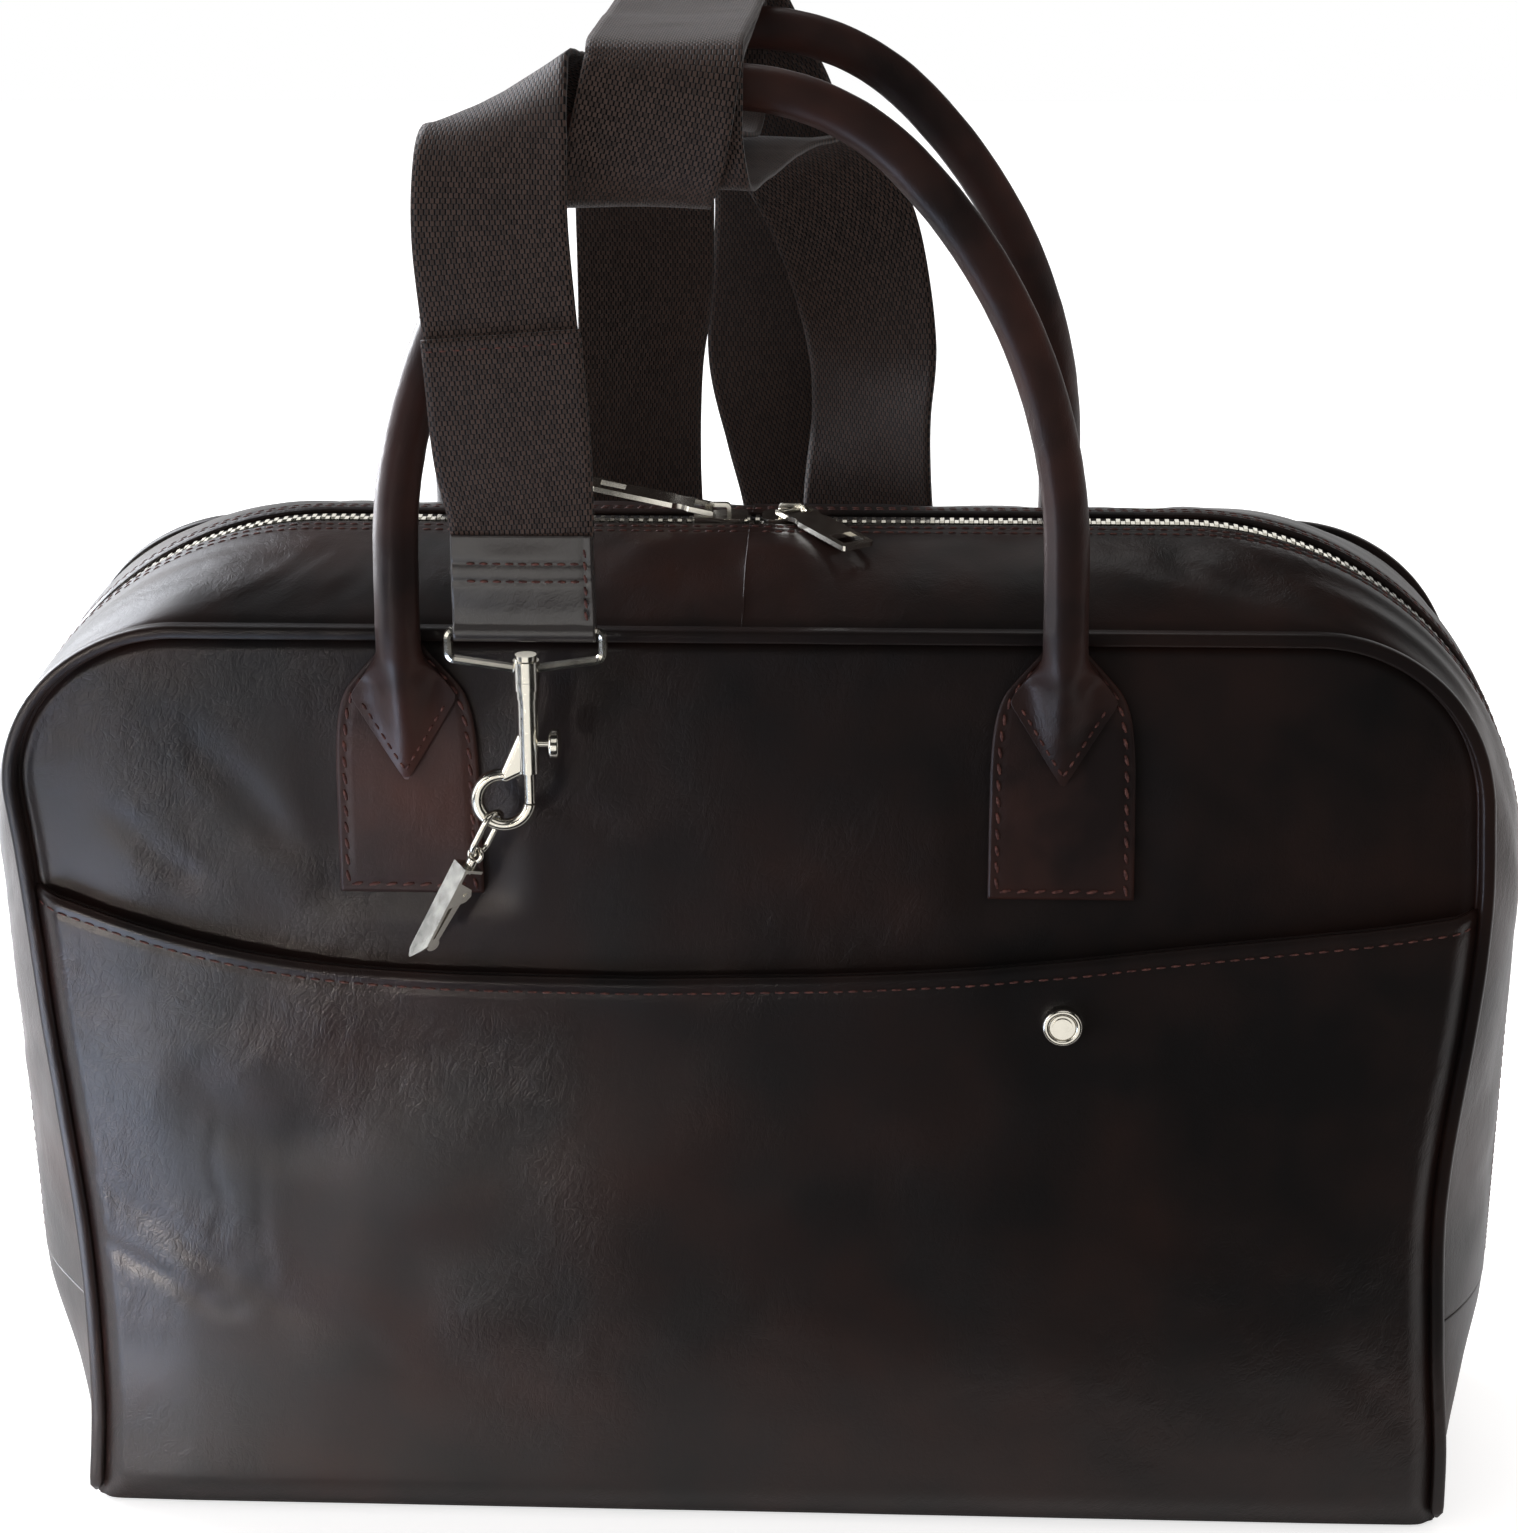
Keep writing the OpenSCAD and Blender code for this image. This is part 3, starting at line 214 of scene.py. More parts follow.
def add_lamp(name, place, target, width, height, watts, spread, code):
    """A rectangular soft lamp that faces a point; spread is the angle in degrees that its grid lets out."""
    data = bpy.data.lights.new(name, "AREA")
    data.shape, data.size, data.size_y = "RECTANGLE", width, height
    data.spread = math.radians(spread)
    data.energy, data.color = watts, shade(code)[:3]
    lamp = bpy.data.objects.new(name, data)
    bpy.context.scene.collection.objects.link(lamp)
    aim = Vector(place) - Vector(target)
    lamp.matrix_world = Matrix.Translation(place) @ aim.to_track_quat("Z", "Y").to_matrix().to_4x4()
    return lamp


add_lamp("window behind", (-1.3, 0.9, 1.0), (-0.1, 0, 0.25), 1.2, 1.2, 30, 180, "#f4f8ff")
add_lamp("window far left", (-1.4, 0.8, 0.35), (0, 0, 0.2), 0.5, 0.5, 24, 180, "#f4f8ff")
add_lamp("window at the left", (-1.46, -0.4, 0.3), (-0.05, 0, 0.2), 0.4, 0.9, 3, 180, "#eef4ff")
add_lamp("lamp behind", (0, 0.9, 1.4), (0, 0, 0.2), 0.5, 0.5, 0.7, 180, "#ffffff")
add_lamp("sheen, far", (-0.66, -1.18, 0.02), (-0.27, -0.07, 0.0), 0.3, 0.3, 0.33, 22, "#fff4ea")
near_sheen = add_lamp("sheen, near and low", (-0.33, -0.25, 0.01), (-0.29, -0.07, 0.22), 0.18, 0.18, 0.55, 180,
                      "#d4e4ff")
near_sheen.visible_camera = False

# %% [markdown]
# ## Leather
# Smooth calf leather, drum-dyed dark brown, then burnished and waxed, so red
# shows through where it is worn and its gloss is soft and broad. Its surface
# has fine wrinkles about a millimetre apart that run together in bundles.
# Noise drives the colour, and a stretched, warped Voronoi pattern makes the
# wrinkles in the bump.

# %% Leather materials
def leather_material(name, dark, worn, roughness, wrinkle, gloss=0.35, lean=0.4, run=2.2):
    """Waxed leather. wrinkle is the depth of its finest creases in metres; they are run times as long as wide
    and lean that many radians from upright."""
    material, tree, shader = new_material(name)
    place = add_node(tree, "TexCoord").outputs["Object"]
    warp = add_noise(tree, place, 60, 3)
    bent = add_node(tree, "VectorMath", {0: warp.outputs["Color"], 1: (0.012, 0.012, 0.012)}, operation="MULTIPLY")
    bent = add_node(tree, "VectorMath", {0: place, 1: bent}, operation="ADD")
    bent = add_node(tree, "Mapping", {"Vector": bent, "Rotation": (0, lean, 0), "Scale": (1, 1, run)},
                    vector_type="TEXTURE")
    # clouds of dye some 60 mm across, and worn red patches
    clouds = add_noise(tree, place, 17, 4, 0.6)
    tone = add_ramp(tree, clouds, [(0.38, dark), (0.72, worn)])
    # wrinkles 1 mm apart
    cells = add_node(tree, "TexVoronoi", {"Vector": bent, "Scale": 900}, feature="DISTANCE_TO_EDGE")
    edges = add_range(tree, cells, 0.0, 0.18)
    grain = add_noise(tree, bent, 1600, 3)
    # wrinkles gather in patches
    patches = add_noise(tree, place, 26, 2)
    amount = add_range(tree, patches, 0.42, 0.62, 0.25)
    folds = add_noise(tree, bent, 210, 4, 0.55)
    fine = add_product(tree, edges, amount)
    fine = add_node(tree, "Math", {0: grain, 1: 0.35, 2: fine}, operation="MULTIPLY_ADD")
    bump = add_bump(tree, fine, 0.6, wrinkle)
    rolled = add_product(tree, folds, amount)
    bump = add_bump(tree, rolled, 0.8, wrinkle * 8, Normal=bump)
    gleam = add_range(tree, clouds, 0.3, 0.7, roughness + 0.05, roughness - 0.05)
    feed(tree, shader, {"Base Color": tone, "Roughness": gleam, "Normal": bump, "Coat Normal": bump,
                        "Specular IOR Level": 0.5, "Coat Weight": gloss, "Coat Roughness": 0.32})
    return material


calf = leather_material("drum-dyed calf leather, waxed", "#100a09", "#28150f", 0.46, 0.00006)
strip_calf = leather_material("burnished calf leather strip", "#140c0a", "#301912", 0.42, 0.00005)
handle_calf = leather_material("calf leather rolled round a cord", "#1e0e0b", "#432117", 0.48, 0.00004, gloss=0.22)
welt_calf = leather_material("calf leather welt round a cord", "#110908", "#27150f", 0.42, 0.00003, gloss=0.4)
polished_calf = leather_material("polished calf leather", "#161010", "#211816", 0.36, 0.00003, gloss=0.9)

# %% [markdown]
# ## Thread, webbing, cloth and metal
# The seams are sewn with waxed polyester thread, red-brown. The strap is
# nylon webbing, woven so that ribs little more than a millimetre long show in
# staggered rows; the gaps between the ribs are painted near black as shade.
# The fittings are nickel-plated zinc, polished, and the zip's
# teeth are nickel-plated brass.

# %% Other materials
thread, tree, shader = new_material("waxed polyester thread")
place = add_node(tree, "TexCoord").outputs["Object"]
ply = add_noise(tree, place, 900, 2)
feed(tree, shader, {"Base Color": add_ramp(tree, ply, [(0.35, "#3b1a16"), (0.7, "#633930")]),
                    "Normal": add_bump(tree, ply, 0.5, 0.0001), "Roughness": 0.6})

GAP_CLOSE = 4


def woven_material(name, dark, light, pitch, row, depth):
    """Webbing or tape: ribs a pitch apart in staggered rows of height row, in millimetres of its own UV map."""
    material, tree, shader = new_material(name)
    uv = add_node(tree, "UVMap", uv_map="weave")
    # drawn out along the tape, which leaves the gaps beside the ribs and closes those at their ends
    drawn = add_node(tree, "VectorMath", {0: uv, 1: (1, GAP_CLOSE, 1)}, operation="MULTIPLY")
    ribs = add_node(tree, "TexBrick",
                    {"Vector": drawn, "Scale": 1.0, "Brick Width": pitch, "Row Height": row * GAP_CLOSE,
                     "Mortar Size": pitch * 0.2, "Mortar Smooth": 0.5, "Color1": shade("#ffffff"),
                     "Color2": shade("#c8c8c8"), "Mortar": shade("#000000")}, offset=0.5, squash=1.0)
    # the gaps between the ribs take the dark colour, near black: painted shade in the gaps; the ribs take the light
    # colour, the cloth's own dye
    feed(tree, shader, {"Base Color": add_ramp(tree, ribs, [(0.0, dark), (0.9, light)]),
                        "Normal": add_bump(tree, ribs, 0.9, depth), "Roughness": 0.55,
                        "Sheen Weight": 0.1, "Sheen Roughness": 0.4})
    return material


# for both: the first colour is painted shade in the gaps between the ribs, the second the ribs' own dye
webbing = woven_material("woven nylon webbing", "#020101", "#47342c", 1.4, 1.3, 0.0005)
zip_cloth = woven_material("woven polyester zip tape", "#0c0908", "#241916", 0.8, 0.7, 0.0002)


def plain_weave(name, dark, light, pitch):
    """Plain weave or pressed fibre on Object coordinates, for what is hidden inside; pitch in metres."""
    material, tree, shader = new_material(name)
    place = add_node(tree, "TexCoord").outputs["Object"]
    weave = add_node(tree, "TexWave", {"Vector": place, "Scale": 1 / pitch / 6.28, "Distortion": 1.5})
    feed(tree, shader, {"Base Color": add_ramp(tree, weave.outputs["Fac"], [(0.2, dark), (0.8, light)]),
                        "Roughness": 0.8})
    return material


lining_cotton = plain_weave("plain-woven cotton lining", "#2a2a2d", "#3d3d42", 0.0008)
fibre_board = plain_weave("pressed fibre board", "#4c3d2e", "#6d5a46", 0.002)


def metal_material(name, code, roughness, wear):
    """Nickel plate, polished; wear is how uneven its polish is."""
    material, tree, shader = new_material(name)
    place = add_node(tree, "TexCoord").outputs["Object"]
    smudge = add_noise(tree, place, 300, 4)
    feed(tree, shader, {"Roughness": add_range(tree, smudge, 0.3, 0.7, roughness, roughness + wear),
                        "Normal": add_bump(tree, smudge, 0.12, 0.00008), "Base Color": shade(code), "Metallic": 1})
    return material


nickel = metal_material("zinc casting, nickel-plated and polished", "#e4e0d6", 0.16, 0.07)
tooth_metal = metal_material("brass teeth, nickel-plated", "#cfccc2", 0.2, 0.12)

# the pieces of the model that stay in sight or inside, by the start of their names
CAD_FINISH = {
    nickel: ("slider", "puller", "pocket_stud", "loop", "hook", "bolt", "clip"),
    tooth_metal: ("zip_teeth", "zip_stops"),
    lining_cotton: ("lining",),
    fibre_board: ("base_board", "handle_front_core", "handle_back_core"),
}
for finish, starts in CAD_FINISH.items():
    for name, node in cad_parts.items():
        if name.startswith(starts):
            slots = node.data.materials
            for i in range(len(slots)):
                slots[i] = finish

# %% [markdown]
# ## Cards for the metal
# Polished metal has no colour of its own to show; it shows what stands round
# it, and here that is a dark room. A studio sets white cards beside a clasp
# for that, and so does this step: five pale panels whose light is linked to
# the metal, and later to the polished leather ends, and to nothing else. Each
# is about as bright as white paper in this light.

# %% Cards
shiny = bpy.data.collections.new("polished pieces")
for name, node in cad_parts.items():
    if name.startswith(CAD_FINISH[nickel] + CAD_FINISH[tooth_metal]):
        shiny.objects.link(node)
for name, place, width, height, paper_white in (
    ("card at the left", (-1.2, -0.7, 0.5), 1.0, 1.0, 1.5), ("card in front, high", (0.2, -1.0, 1.1), 1.0, 0.6, 1.0),
    ("card at the right", (1.1, -0.3, 0.4), 0.3, 0.8, 0.8), ("card in front, low", (-0.1, -0.75, 0.03), 0.9, 0.5, 1.1),
    ("card behind, high", (-0.1, 1.3, 0.9), 1.6, 1.2, 1.0),
):
    watts = paper_white * math.pi * width * height
    card = add_lamp(name, place, (-0.05, -0.07, 0.25), width, height, watts, 180, "#fffdf8")
    card.light_linking.receiver_collection = shiny

# %% [markdown]
# ## The bag's form
# A soft bag keeps the outline of its panels but settles: each side is drawn in
# at some heights and pushed out at others, by up to five millimetres. All the
# leather pieces start from the same outline and are moved by the same settling
# function, so their seams stay together. Lengths here are in millimetres, and
# a piece is brought to metres when it is finished.

# %% Outline and settling
def box_mm(node):
    low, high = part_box(node)
    return low / MM, high / MM


piping_low, piping_high = box_mm("piping_front")
BODY_W, BODY_H = 2 * piping_high.x, piping_high.z
# width at the floor, depth over the piping, radius of the top corners
BASE_W, BODY_D, CORNER_R = 388, -2 * piping_low.y, 48
# how far the gusset's ridge stands out, its corner radius, the height of the zip's ends
BULGE, RIDGE_R, ZIP_END = 16, 98, 62
# leather thickness, piping radius, from the zip's middle to the leather beside it
LEATHER, PIPING_R, STRIP_GAP = 1.6, 2, 6
PANEL_INSET, SEAM_ALLOWANCE, SEAM_GAP = 3.2, 1.2, 0.3
TAPER = math.atan((BODY_W - BASE_W) / 2 / (BODY_H - CORNER_R))
PIPING_Y = BODY_D / 2 - PIPING_R
FACE = -box_mm("front_panel")[0].y
POCKET_FACE = -box_mm("front_pocket")[0].y
GUSSET_Y = PIPING_Y - PIPING_R
BULGE_R = (GUSSET_Y**2 + BULGE**2) / (2 * BULGE)
# half the distance between a handle's feet, and how far the pair sits off the middle
HANDLE_X, HANDLE_SHIFT = 88.5, -2.5
print("bag outline", round(BODY_W), round(BODY_H), "depth", round(BODY_D), "pocket face", round(POCKET_FACE, 1))


def smooth(low, high, x):
    """Rises smoothly from 0 at low to 1 at high; falls where low is the larger."""
    t = min(max((x - low) / (high - low), 0), 1)
    return t * t * (3 - 2 * t)


def hump(x, width):
    """1 at x = 0, fading away on both sides over about width."""
    return math.exp(-((x / width) ** 2))


def line_through(points, x):
    """Smooth curve through (x, value) points."""
    last = len(points) - 2
    i = max(min(sum(1 for p in points if p[0] <= x) - 1, last), 0)
    a, b = points[i], points[i + 1]
    before, after = points[max(i - 1, 0)], points[min(i + 2, last + 1)]
    span = b[0] - a[0]
    t = min(max((x - a[0]) / span, 0), 1)
    m0 = (b[1] - before[1]) / (b[0] - before[0]) * span
    m1 = (after[1] - a[1]) / (after[0] - a[0]) * span
    return ((2 * t**3 - 3 * t**2 + 1) * a[1] + (t**3 - 2 * t**2 + t) * m0
            + (3 * t**2 - 2 * t**3) * b[1] + (t**3 - t**2) * m1)


def outline(width, height, radius, low, t):
    """Right half of an outline: t from 0 to 1 up the side, to 2 round the corner, to 3 at the middle of the top.
    Gives x, z and the angle of the outward direction."""
    cx, cz = width / 2 - radius, height - radius
    tx, tz = cx + radius * math.cos(TAPER), cz - radius * math.sin(TAPER)
    if t < 1:
        z = low + (tz - low) * t
        return tx - (tz - z) * math.tan(TAPER), z, -TAPER
    if t < 2:
        a = -TAPER + (math.pi / 2 + TAPER) * (t - 1)
        return cx + radius * math.cos(a), cz + radius * math.sin(a), a
    return cx * (3 - t), height, math.pi / 2


def station(share, corner_from, top_from):
    """Outline station at a share of the way along it, when the corner and the top start at these shares."""
    if share < corner_from:
        return share / corner_from
    if share <= top_from:
        return 1 + (share - corner_from) / (top_from - corner_from)
    return 2 + (share - top_from) / (1 - top_from)


def across(u, share):
    """From -1 to 1 over a sheet's width, with the points closer together at both sides."""
    return math.sin((u - 0.5) * math.pi * share) / math.sin(math.pi / 2 * share)


# heights, and how far the side is drawn in there
DRAWN_IN_LEFT = [(0, 0.5), (32, 4), (80, 5), (127, 2.5), (150, 1), (178, -0.2), (202, -1.5), (222, -3), (250, -2.5),
                 (275, 0), (300, 0)]
DRAWN_IN_RIGHT = [(0, -4.5), (25, -3.5), (56, -0.5), (103, 2), (163, -2.7), (192, -3.6), (225, -1.5), (250, -0.8),
                  (275, 0), (300, 0)]


def settle(p):
    """Moves a point of the leather as the bag has settled; the zip stays in place."""
    drawn = line_through(DRAWN_IN_LEFT if p.x < 0 else DRAWN_IN_RIGHT, p.z)
    share = smooth(90, 192, abs(p.x)) * smooth(8, 46, abs(p.y))
    return Vector((p.x - drawn * share * (1 if p.x > 0 else -1), p.y, p.z))


def ripple(x, y, size, seed):
    """Soft unevenness between -1 and 1 whose humps are about size wide."""
    return noise.noise(Vector((x / size, y / size, seed)))


# %% [markdown]
# ## Sheets and tubes from a grid
# Leather is cut flat and bent to shape, and so are these pieces: each starts
# as a flat grid whose corners run from 0 to 1 both ways, every point is taken
# to its place on the form, and the wall thickness is added last. A tube is
# the same grid rolled up, with its two long edges merged.

# %% Grid, finishing and stitch helpers
def bent_grid(columns, rows, place, weave=None, closed=False):
    """A bmesh grid with each point moved to place(u, v). weave is the size of its UV map in millimetres."""
    bm = bmesh.new()
    bmesh.ops.create_grid(bm, x_segments=columns, y_segments=rows, size=0.5)
    if weave:
        layer = bm.loops.layers.uv.new("weave")
        for face in bm.faces:
            for loop in face.loops:
                corner = loop.vert.co
                loop[layer].uv = ((corner.x + 0.5) * weave[0], (corner.y + 0.5) * weave[1])
    for vert in bm.verts:
        vert.co = place(vert.co.x + 0.5, vert.co.y + 0.5)
    if closed:
        bmesh.ops.remove_doubles(bm, verts=bm.verts, dist=0.001)
        bmesh.ops.holes_fill(bm, edges=bm.edges, sides=0)
        bmesh.ops.recalc_face_normals(bm, faces=bm.faces)
    return bm


def finish_piece(bm, name, material, body, replaces=(), wall=0, offset=-1):
    """Brings a millimetre bmesh into the scene in metres, gives it its finish and ties it to a body."""
    bmesh.ops.scale(bm, vec=(MM, MM, MM), verts=bm.verts)
    mesh = bpy.data.meshes.new(name)
    for face in bm.faces:
        face.smooth = True
    bm.to_mesh(mesh)
    bm.free()
    mesh.materials.append(material)
    piece = bpy.data.objects.new(name, mesh)
    bpy.context.scene.collection.objects.link(piece)
    if wall:
        solid = piece.modifiers.new("wall", "SOLIDIFY")
        solid.thickness, solid.offset = wall * MM, offset
    if body:
        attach(piece, body)
    if replaces:
        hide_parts(*replaces)
    print(name, len(mesh.polygons), "faces")
    return piece


def face_front(bm, outward):
    """Turns a sheet over if its faces point away from outward, and gives it back."""
    bm.normal_update()
    total = sum((f.normal * f.calc_area() for f in bm.faces), Vector())
    if total.dot(Vector(outward)) < 0:
        bmesh.ops.reverse_faces(bm, faces=bm.faces)
    return bm


def finish_leather(bm, name, material, outward, wall=LEATHER * 0.9):
    """Finishes a leather sheet of the bag in the place of the node of that name."""
    finish_piece(face_front(bm, outward), name + "_leather", material, "bag", [name], wall=wall)


def joined(sheets):
    """Several sheets as one."""
    bm = bmesh.new()
    for sheet in sheets:
        spare = bpy.data.meshes.new("spare")
        sheet.to_mesh(spare)
        bm.from_mesh(spare)
        bpy.data.meshes.remove(spare)
        sheet.free()
    return bm


def stitch_row(bm, path, normal, length, thick, pitch, slant=0.0):
    """Lays stitches along a list of points: each is a slim bead sunk halfway into the leather.
    normal is the outward direction at every point, or one for all."""
    run, want = 0.0, pitch / 2
    for i in range(len(path) - 1):
        a, b = path[i], path[i + 1]
        step = (b - a).length
        while run + step >= want and step > 0:
            t = (want - run) / step
            out = (normal[i].lerp(normal[i + 1], t) if isinstance(normal, list) else normal).normalized()
            ahead = (b - a).normalized()
            side = out.cross(ahead).normalized()
            ahead = (ahead * math.cos(slant) + side * math.sin(slant)).normalized()
            side = out.cross(ahead).normalized()
            turn = Matrix((ahead, side, out)).transposed().to_4x4()
            size = Matrix.Diagonal((length / 2, thick / 2, thick / 2, 1))
            bmesh.ops.create_uvsphere(bm, u_segments=6, v_segments=4, radius=1,
                                      matrix=Matrix.Translation(a.lerp(b, t)) @ turn @ size)
            want += pitch
        run += step


# %% [markdown]
# ## Front and back panels
# Each panel is one flat piece with round top corners, turned in where the
# piping is sewn. It isn't quite flat: the filled bag pushes it out a little,
# and old folds cross it. Its edge turns in towards the seam over about 3 mm.

# %% Panels
# each fold runs from x, z to x, z and has a depth and a width
FOLDS_FRONT = [(-150, 238, -120, 200, 0.5, 7), (-60, 225, -30, 206, 0.35, 6), (120, 232, 150, 205, 0.4, 8),
               (60, 218, 92, 196, 0.3, 6), (-172, 214, -150, 192, 0.45, 6)]
FOLDS_BACK = [(-120, 90, -60, 60, 0.8, 9), (100, 150, 150, 110, 0.7, 9), (-30, 190, 60, 170, 0.5, 8)]
PANEL_FORM = {-1: (1.7, FOLDS_FRONT), 1: (8.3, FOLDS_BACK)}
PANEL_STEPS = 170
SEAM_DEPTH, SEAM_WIDTH = 2.8, 1.9


def fold_depth(folds, x, z):
    """How deep a point lies in the folds: each is a soft valley with a low ridge on both sides."""
    depth = 0
    for x0, z0, x1, z1, deep, wide in folds:
        dx, dz = x1 - x0, z1 - z0
        t = ((x - x0) * dx + (z - z0) * dz) / (dx * dx + dz * dz)
        end = smooth(-0.15, 0.25, t) * smooth(1.15, 0.75, t)
        if end > 0:
            wander = 2.5 * ripple(x, z, 14, wide)
            d = ((x - x0) * dz - (z - z0) * dx) / math.hypot(dx, dz) + wander
            s = (d / wide) ** 2
            depth += deep * end * (1 - 1.1 * s) * math.exp(-s)
    return depth


def edge_distance(x, z, inset=0):
    """Distance from a point to the bag's outline drawn in by inset, and its distance to the side alone."""
    w, h, r = BODY_W / 2 - inset, BODY_H - inset, CORNER_R - inset
    side = w - (h - r - min(z, h - r)) * math.tan(TAPER) - abs(x)
    if abs(x) > w - r and z > h - r:
        return r - math.hypot(abs(x) - (w - r), z - (h - r)), side
    return min(side, h - z), side


def fall_back(x, z):
    """A filled bag's face is a little round: it falls back over the last 36 mm towards its left and right seams."""
    return 2.8 * smooth(36, 0, edge_distance(x, z)[1])


def panel_out(x, z, side, folded=True):
    """How far the outer face of the front (-1) or back (1) panel stands out at x, z."""
    seed, folds = PANEL_FORM[side]
    edge = edge_distance(x, z)[0]
    filled = 1.6 * smooth(1, 0.3, abs(x) / 200) * smooth(0, 60, z) * smooth(262, 200, z)
    uneven = 0.9 * ripple(x, z, 62, seed) + 0.35 * ripple(x, z, 23, seed + 3)
    calm = smooth(2, 22, edge)
    near_patch = 1 - smooth(34, 20, abs(abs(x - HANDLE_SHIFT) - HANDLE_X)) * smooth(182, 192, z)
    out = FACE + (filled * near_patch + uneven * calm * (0.25 + 0.75 * near_patch)) * calm
    if folded:
        out -= fold_depth(folds, x, z) * calm
    seam = SEAM_DEPTH * hump(edge_distance(x, z, 3.4)[0], SEAM_WIDTH)
    return out - fall_back(x, z) * smooth(2, 9, edge) - seam


def on_face(u, v, inset, low):
    """x and z on a panel drawn in by inset, whose rows start low above the floor."""
    x, z, _ = outline(BODY_W - 2 * inset, BODY_H - inset, CORNER_R - inset, low, station(v, 0.64516, 1))
    return x * across(u, 0.92), z


def make_panel(name, side):
    def place(u, v):
        x, z = on_face(u, v, PANEL_INSET, 0.4)
        return settle(Vector((x, side * panel_out(x, z, side), z)))

    finish_leather(bent_grid(PANEL_STEPS, PANEL_STEPS, place), name, calf, (0, side, 0))


make_panel("front_panel", -1)
make_panel("back_panel", 1)

# %% [markdown]
# ## Lining
# The cotton lining is a bag inside the bag, open along the zip. It is sewn
# into the same seams, so its two faces follow the panels three millimetres
# behind their outer side, and it has two side walls and a floor.

# %% Lining
LINING_BEHIND, LINING_INSET, LINING_FLOOR = 3.0, 6.0, 4.6
LINING_Y = FACE - 4.5


def lining_wall(right):
    """A side wall, up to where the corner starts to turn over."""
    def place(u, v):
        x, z, _ = outline(BODY_W - 2 * LINING_INSET, BODY_H - LINING_INSET, CORNER_R - LINING_INSET, LINING_FLOOR,
                          1.6 * v)
        return settle(Vector((right * x, (2 * u - 1) * LINING_Y, z)))
    return place


def lining_face(side):
    """A face behind the panel on this side."""
    def place(u, v):
        x, z = on_face(u, v, LINING_INSET, LINING_FLOOR)
        return settle(Vector((x, side * (panel_out(x, z, side, folded=False) - LINING_BEHIND), z)))
    return place


def lining_floor(u, v):
    return settle(Vector(((BASE_W / 2 - LINING_INSET) * (2 * u - 1), LINING_Y * (2 * v - 1), LINING_FLOOR)))


bm = joined(bent_grid(40, 60, place)
            for place in (lining_face(-1), lining_face(1), lining_wall(1), lining_wall(-1), lining_floor))
finish_piece(bm, "lining_cloth", lining_cotton, "bag", ["lining"], wall=0.6, offset=0)

# %% [markdown]
# ## Front pocket
# The pocket is one more piece of leather laid over the front panel and sewn
# into the same side and bottom seams. Its edge dips in the middle, is turned
# in and sewn with one row, and stands open a few millimetres. Because it is
# only held at its sides, long folds run across its lower left corner.

# %% Pocket
POCKET_EDGE = [(-205, 194), (-191, 190), (-171, 183.5), (-150, 177.5), (-122, 172), (-95, 169.5), (-40, 168.3),
               (0, 169), (43, 171), (87, 174.5), (124, 179), (161, 184), (197, 189), (205, 190)]
FOLDS_POCKET = [
    (-202, 124, -176, 96, 0.4, 4.5), (-178, 98, -150, 76, 0.4, 5), (-154, 78, -100, 52, 0.35, 7),
    (-204, 94, -160, 70, 0.6, 4.5), (-162, 71, -146, 64, 0.3, 5), (-150, 130, -151, 78, 0.16, 2.5),
    (-137, 112, -138, 72, 0.12, 2.5), (-156, 144, -138, 116, 0.4, 12), (-142, 117, -104, 121, 0.45, 13),
    (-112, 53, -92, 45, 0.3, 7), (-90, 50, -50, 34, 0.35, 10), (110, 96, 150, 88, 0.25, 10),
    (150, 150, 178, 120, 0.3, 9), (166, 60, 184, 30, 0.4, 8),
]
STUD_X, STUD_Z = 87, 157
STITCH_INSET, EDGE_ROUND = 4.2, 1.1


def pocket_out(x, z):
    """How far the pocket's outer face stands out at x, z."""
    side = edge_distance(x, z, PANEL_INSET)[0]
    lift = smooth(0, 8, side) * smooth(-3, 12, z)
    low = FACE + 1.4
    calm = smooth(9, 26, math.hypot(x - STUD_X, z - STUD_Z))
    filled = 2.2 * smooth(1, 0.35, abs(x) / 195) * smooth(0, 70, z) * smooth(150, 95, z)
    uneven = 1.25 * ripple(x, z, 70, 21.4) + 0.5 * ripple(x, z, 26, 25.1)
    wave = 0.7 * math.sin(x / 31) * smooth(120, 165, z) * smooth(188, 120, abs(x))
    form = POCKET_FACE - low + filled + (uneven + wave - fold_depth(FOLDS_POCKET, x, z)) * calm - fall_back(x, z)
    return low + form * lift - 2.2 * hump(side, 2.4)


def pocket_place(u, v):
    half = BASE_W / 2 - PANEL_INSET
    share = across(u, 0.9)
    edge = line_through(POCKET_EDGE, share * (half + 5.2))
    z = 0.5 + (edge - 0.5) * (1 - (1 - v) ** 1.25)
    x = share * (half + z * math.tan(TAPER))
    groove = 0.35 * hump(edge - z - STITCH_INSET, 1.3)
    lip = 1.3 * hump(edge - z, EDGE_ROUND)
    return settle(Vector((x, -(pocket_out(x, z) - groove - lip), z)))


finish_leather(bent_grid(190, 170, pocket_place), "front_pocket", calf, (0, -1, 0), wall=LEATHER)


def hem_place(u, v):
    """The turned edge behind the pocket's rim, seen from above."""
    rim = pocket_place(0.02 + 0.96 * u, 1.0)
    return rim + Vector((0, 1.6 + 1.1 * smooth(0, 0.25, v), -0.35 - 8 * v * v))


bm = face_front(bent_grid(150, 10, hem_place), (0, 1, 0))
finish_piece(bm, "pocket_hem", calf, "bag", wall=1.0, offset=0)

# %% [markdown]
# ## Piping
# The seam between panel and gusset is piped: a folded strip of the same
# leather, sewn in. A tube along the outline does it, with its section pressed
# from a circle to a rounded square, so that its face is a narrow flat band.

# %% Piping
def squared(c):
    """Presses the cosine or sine of a round section out towards a square."""
    return math.copysign(abs(c) ** 0.6, c)


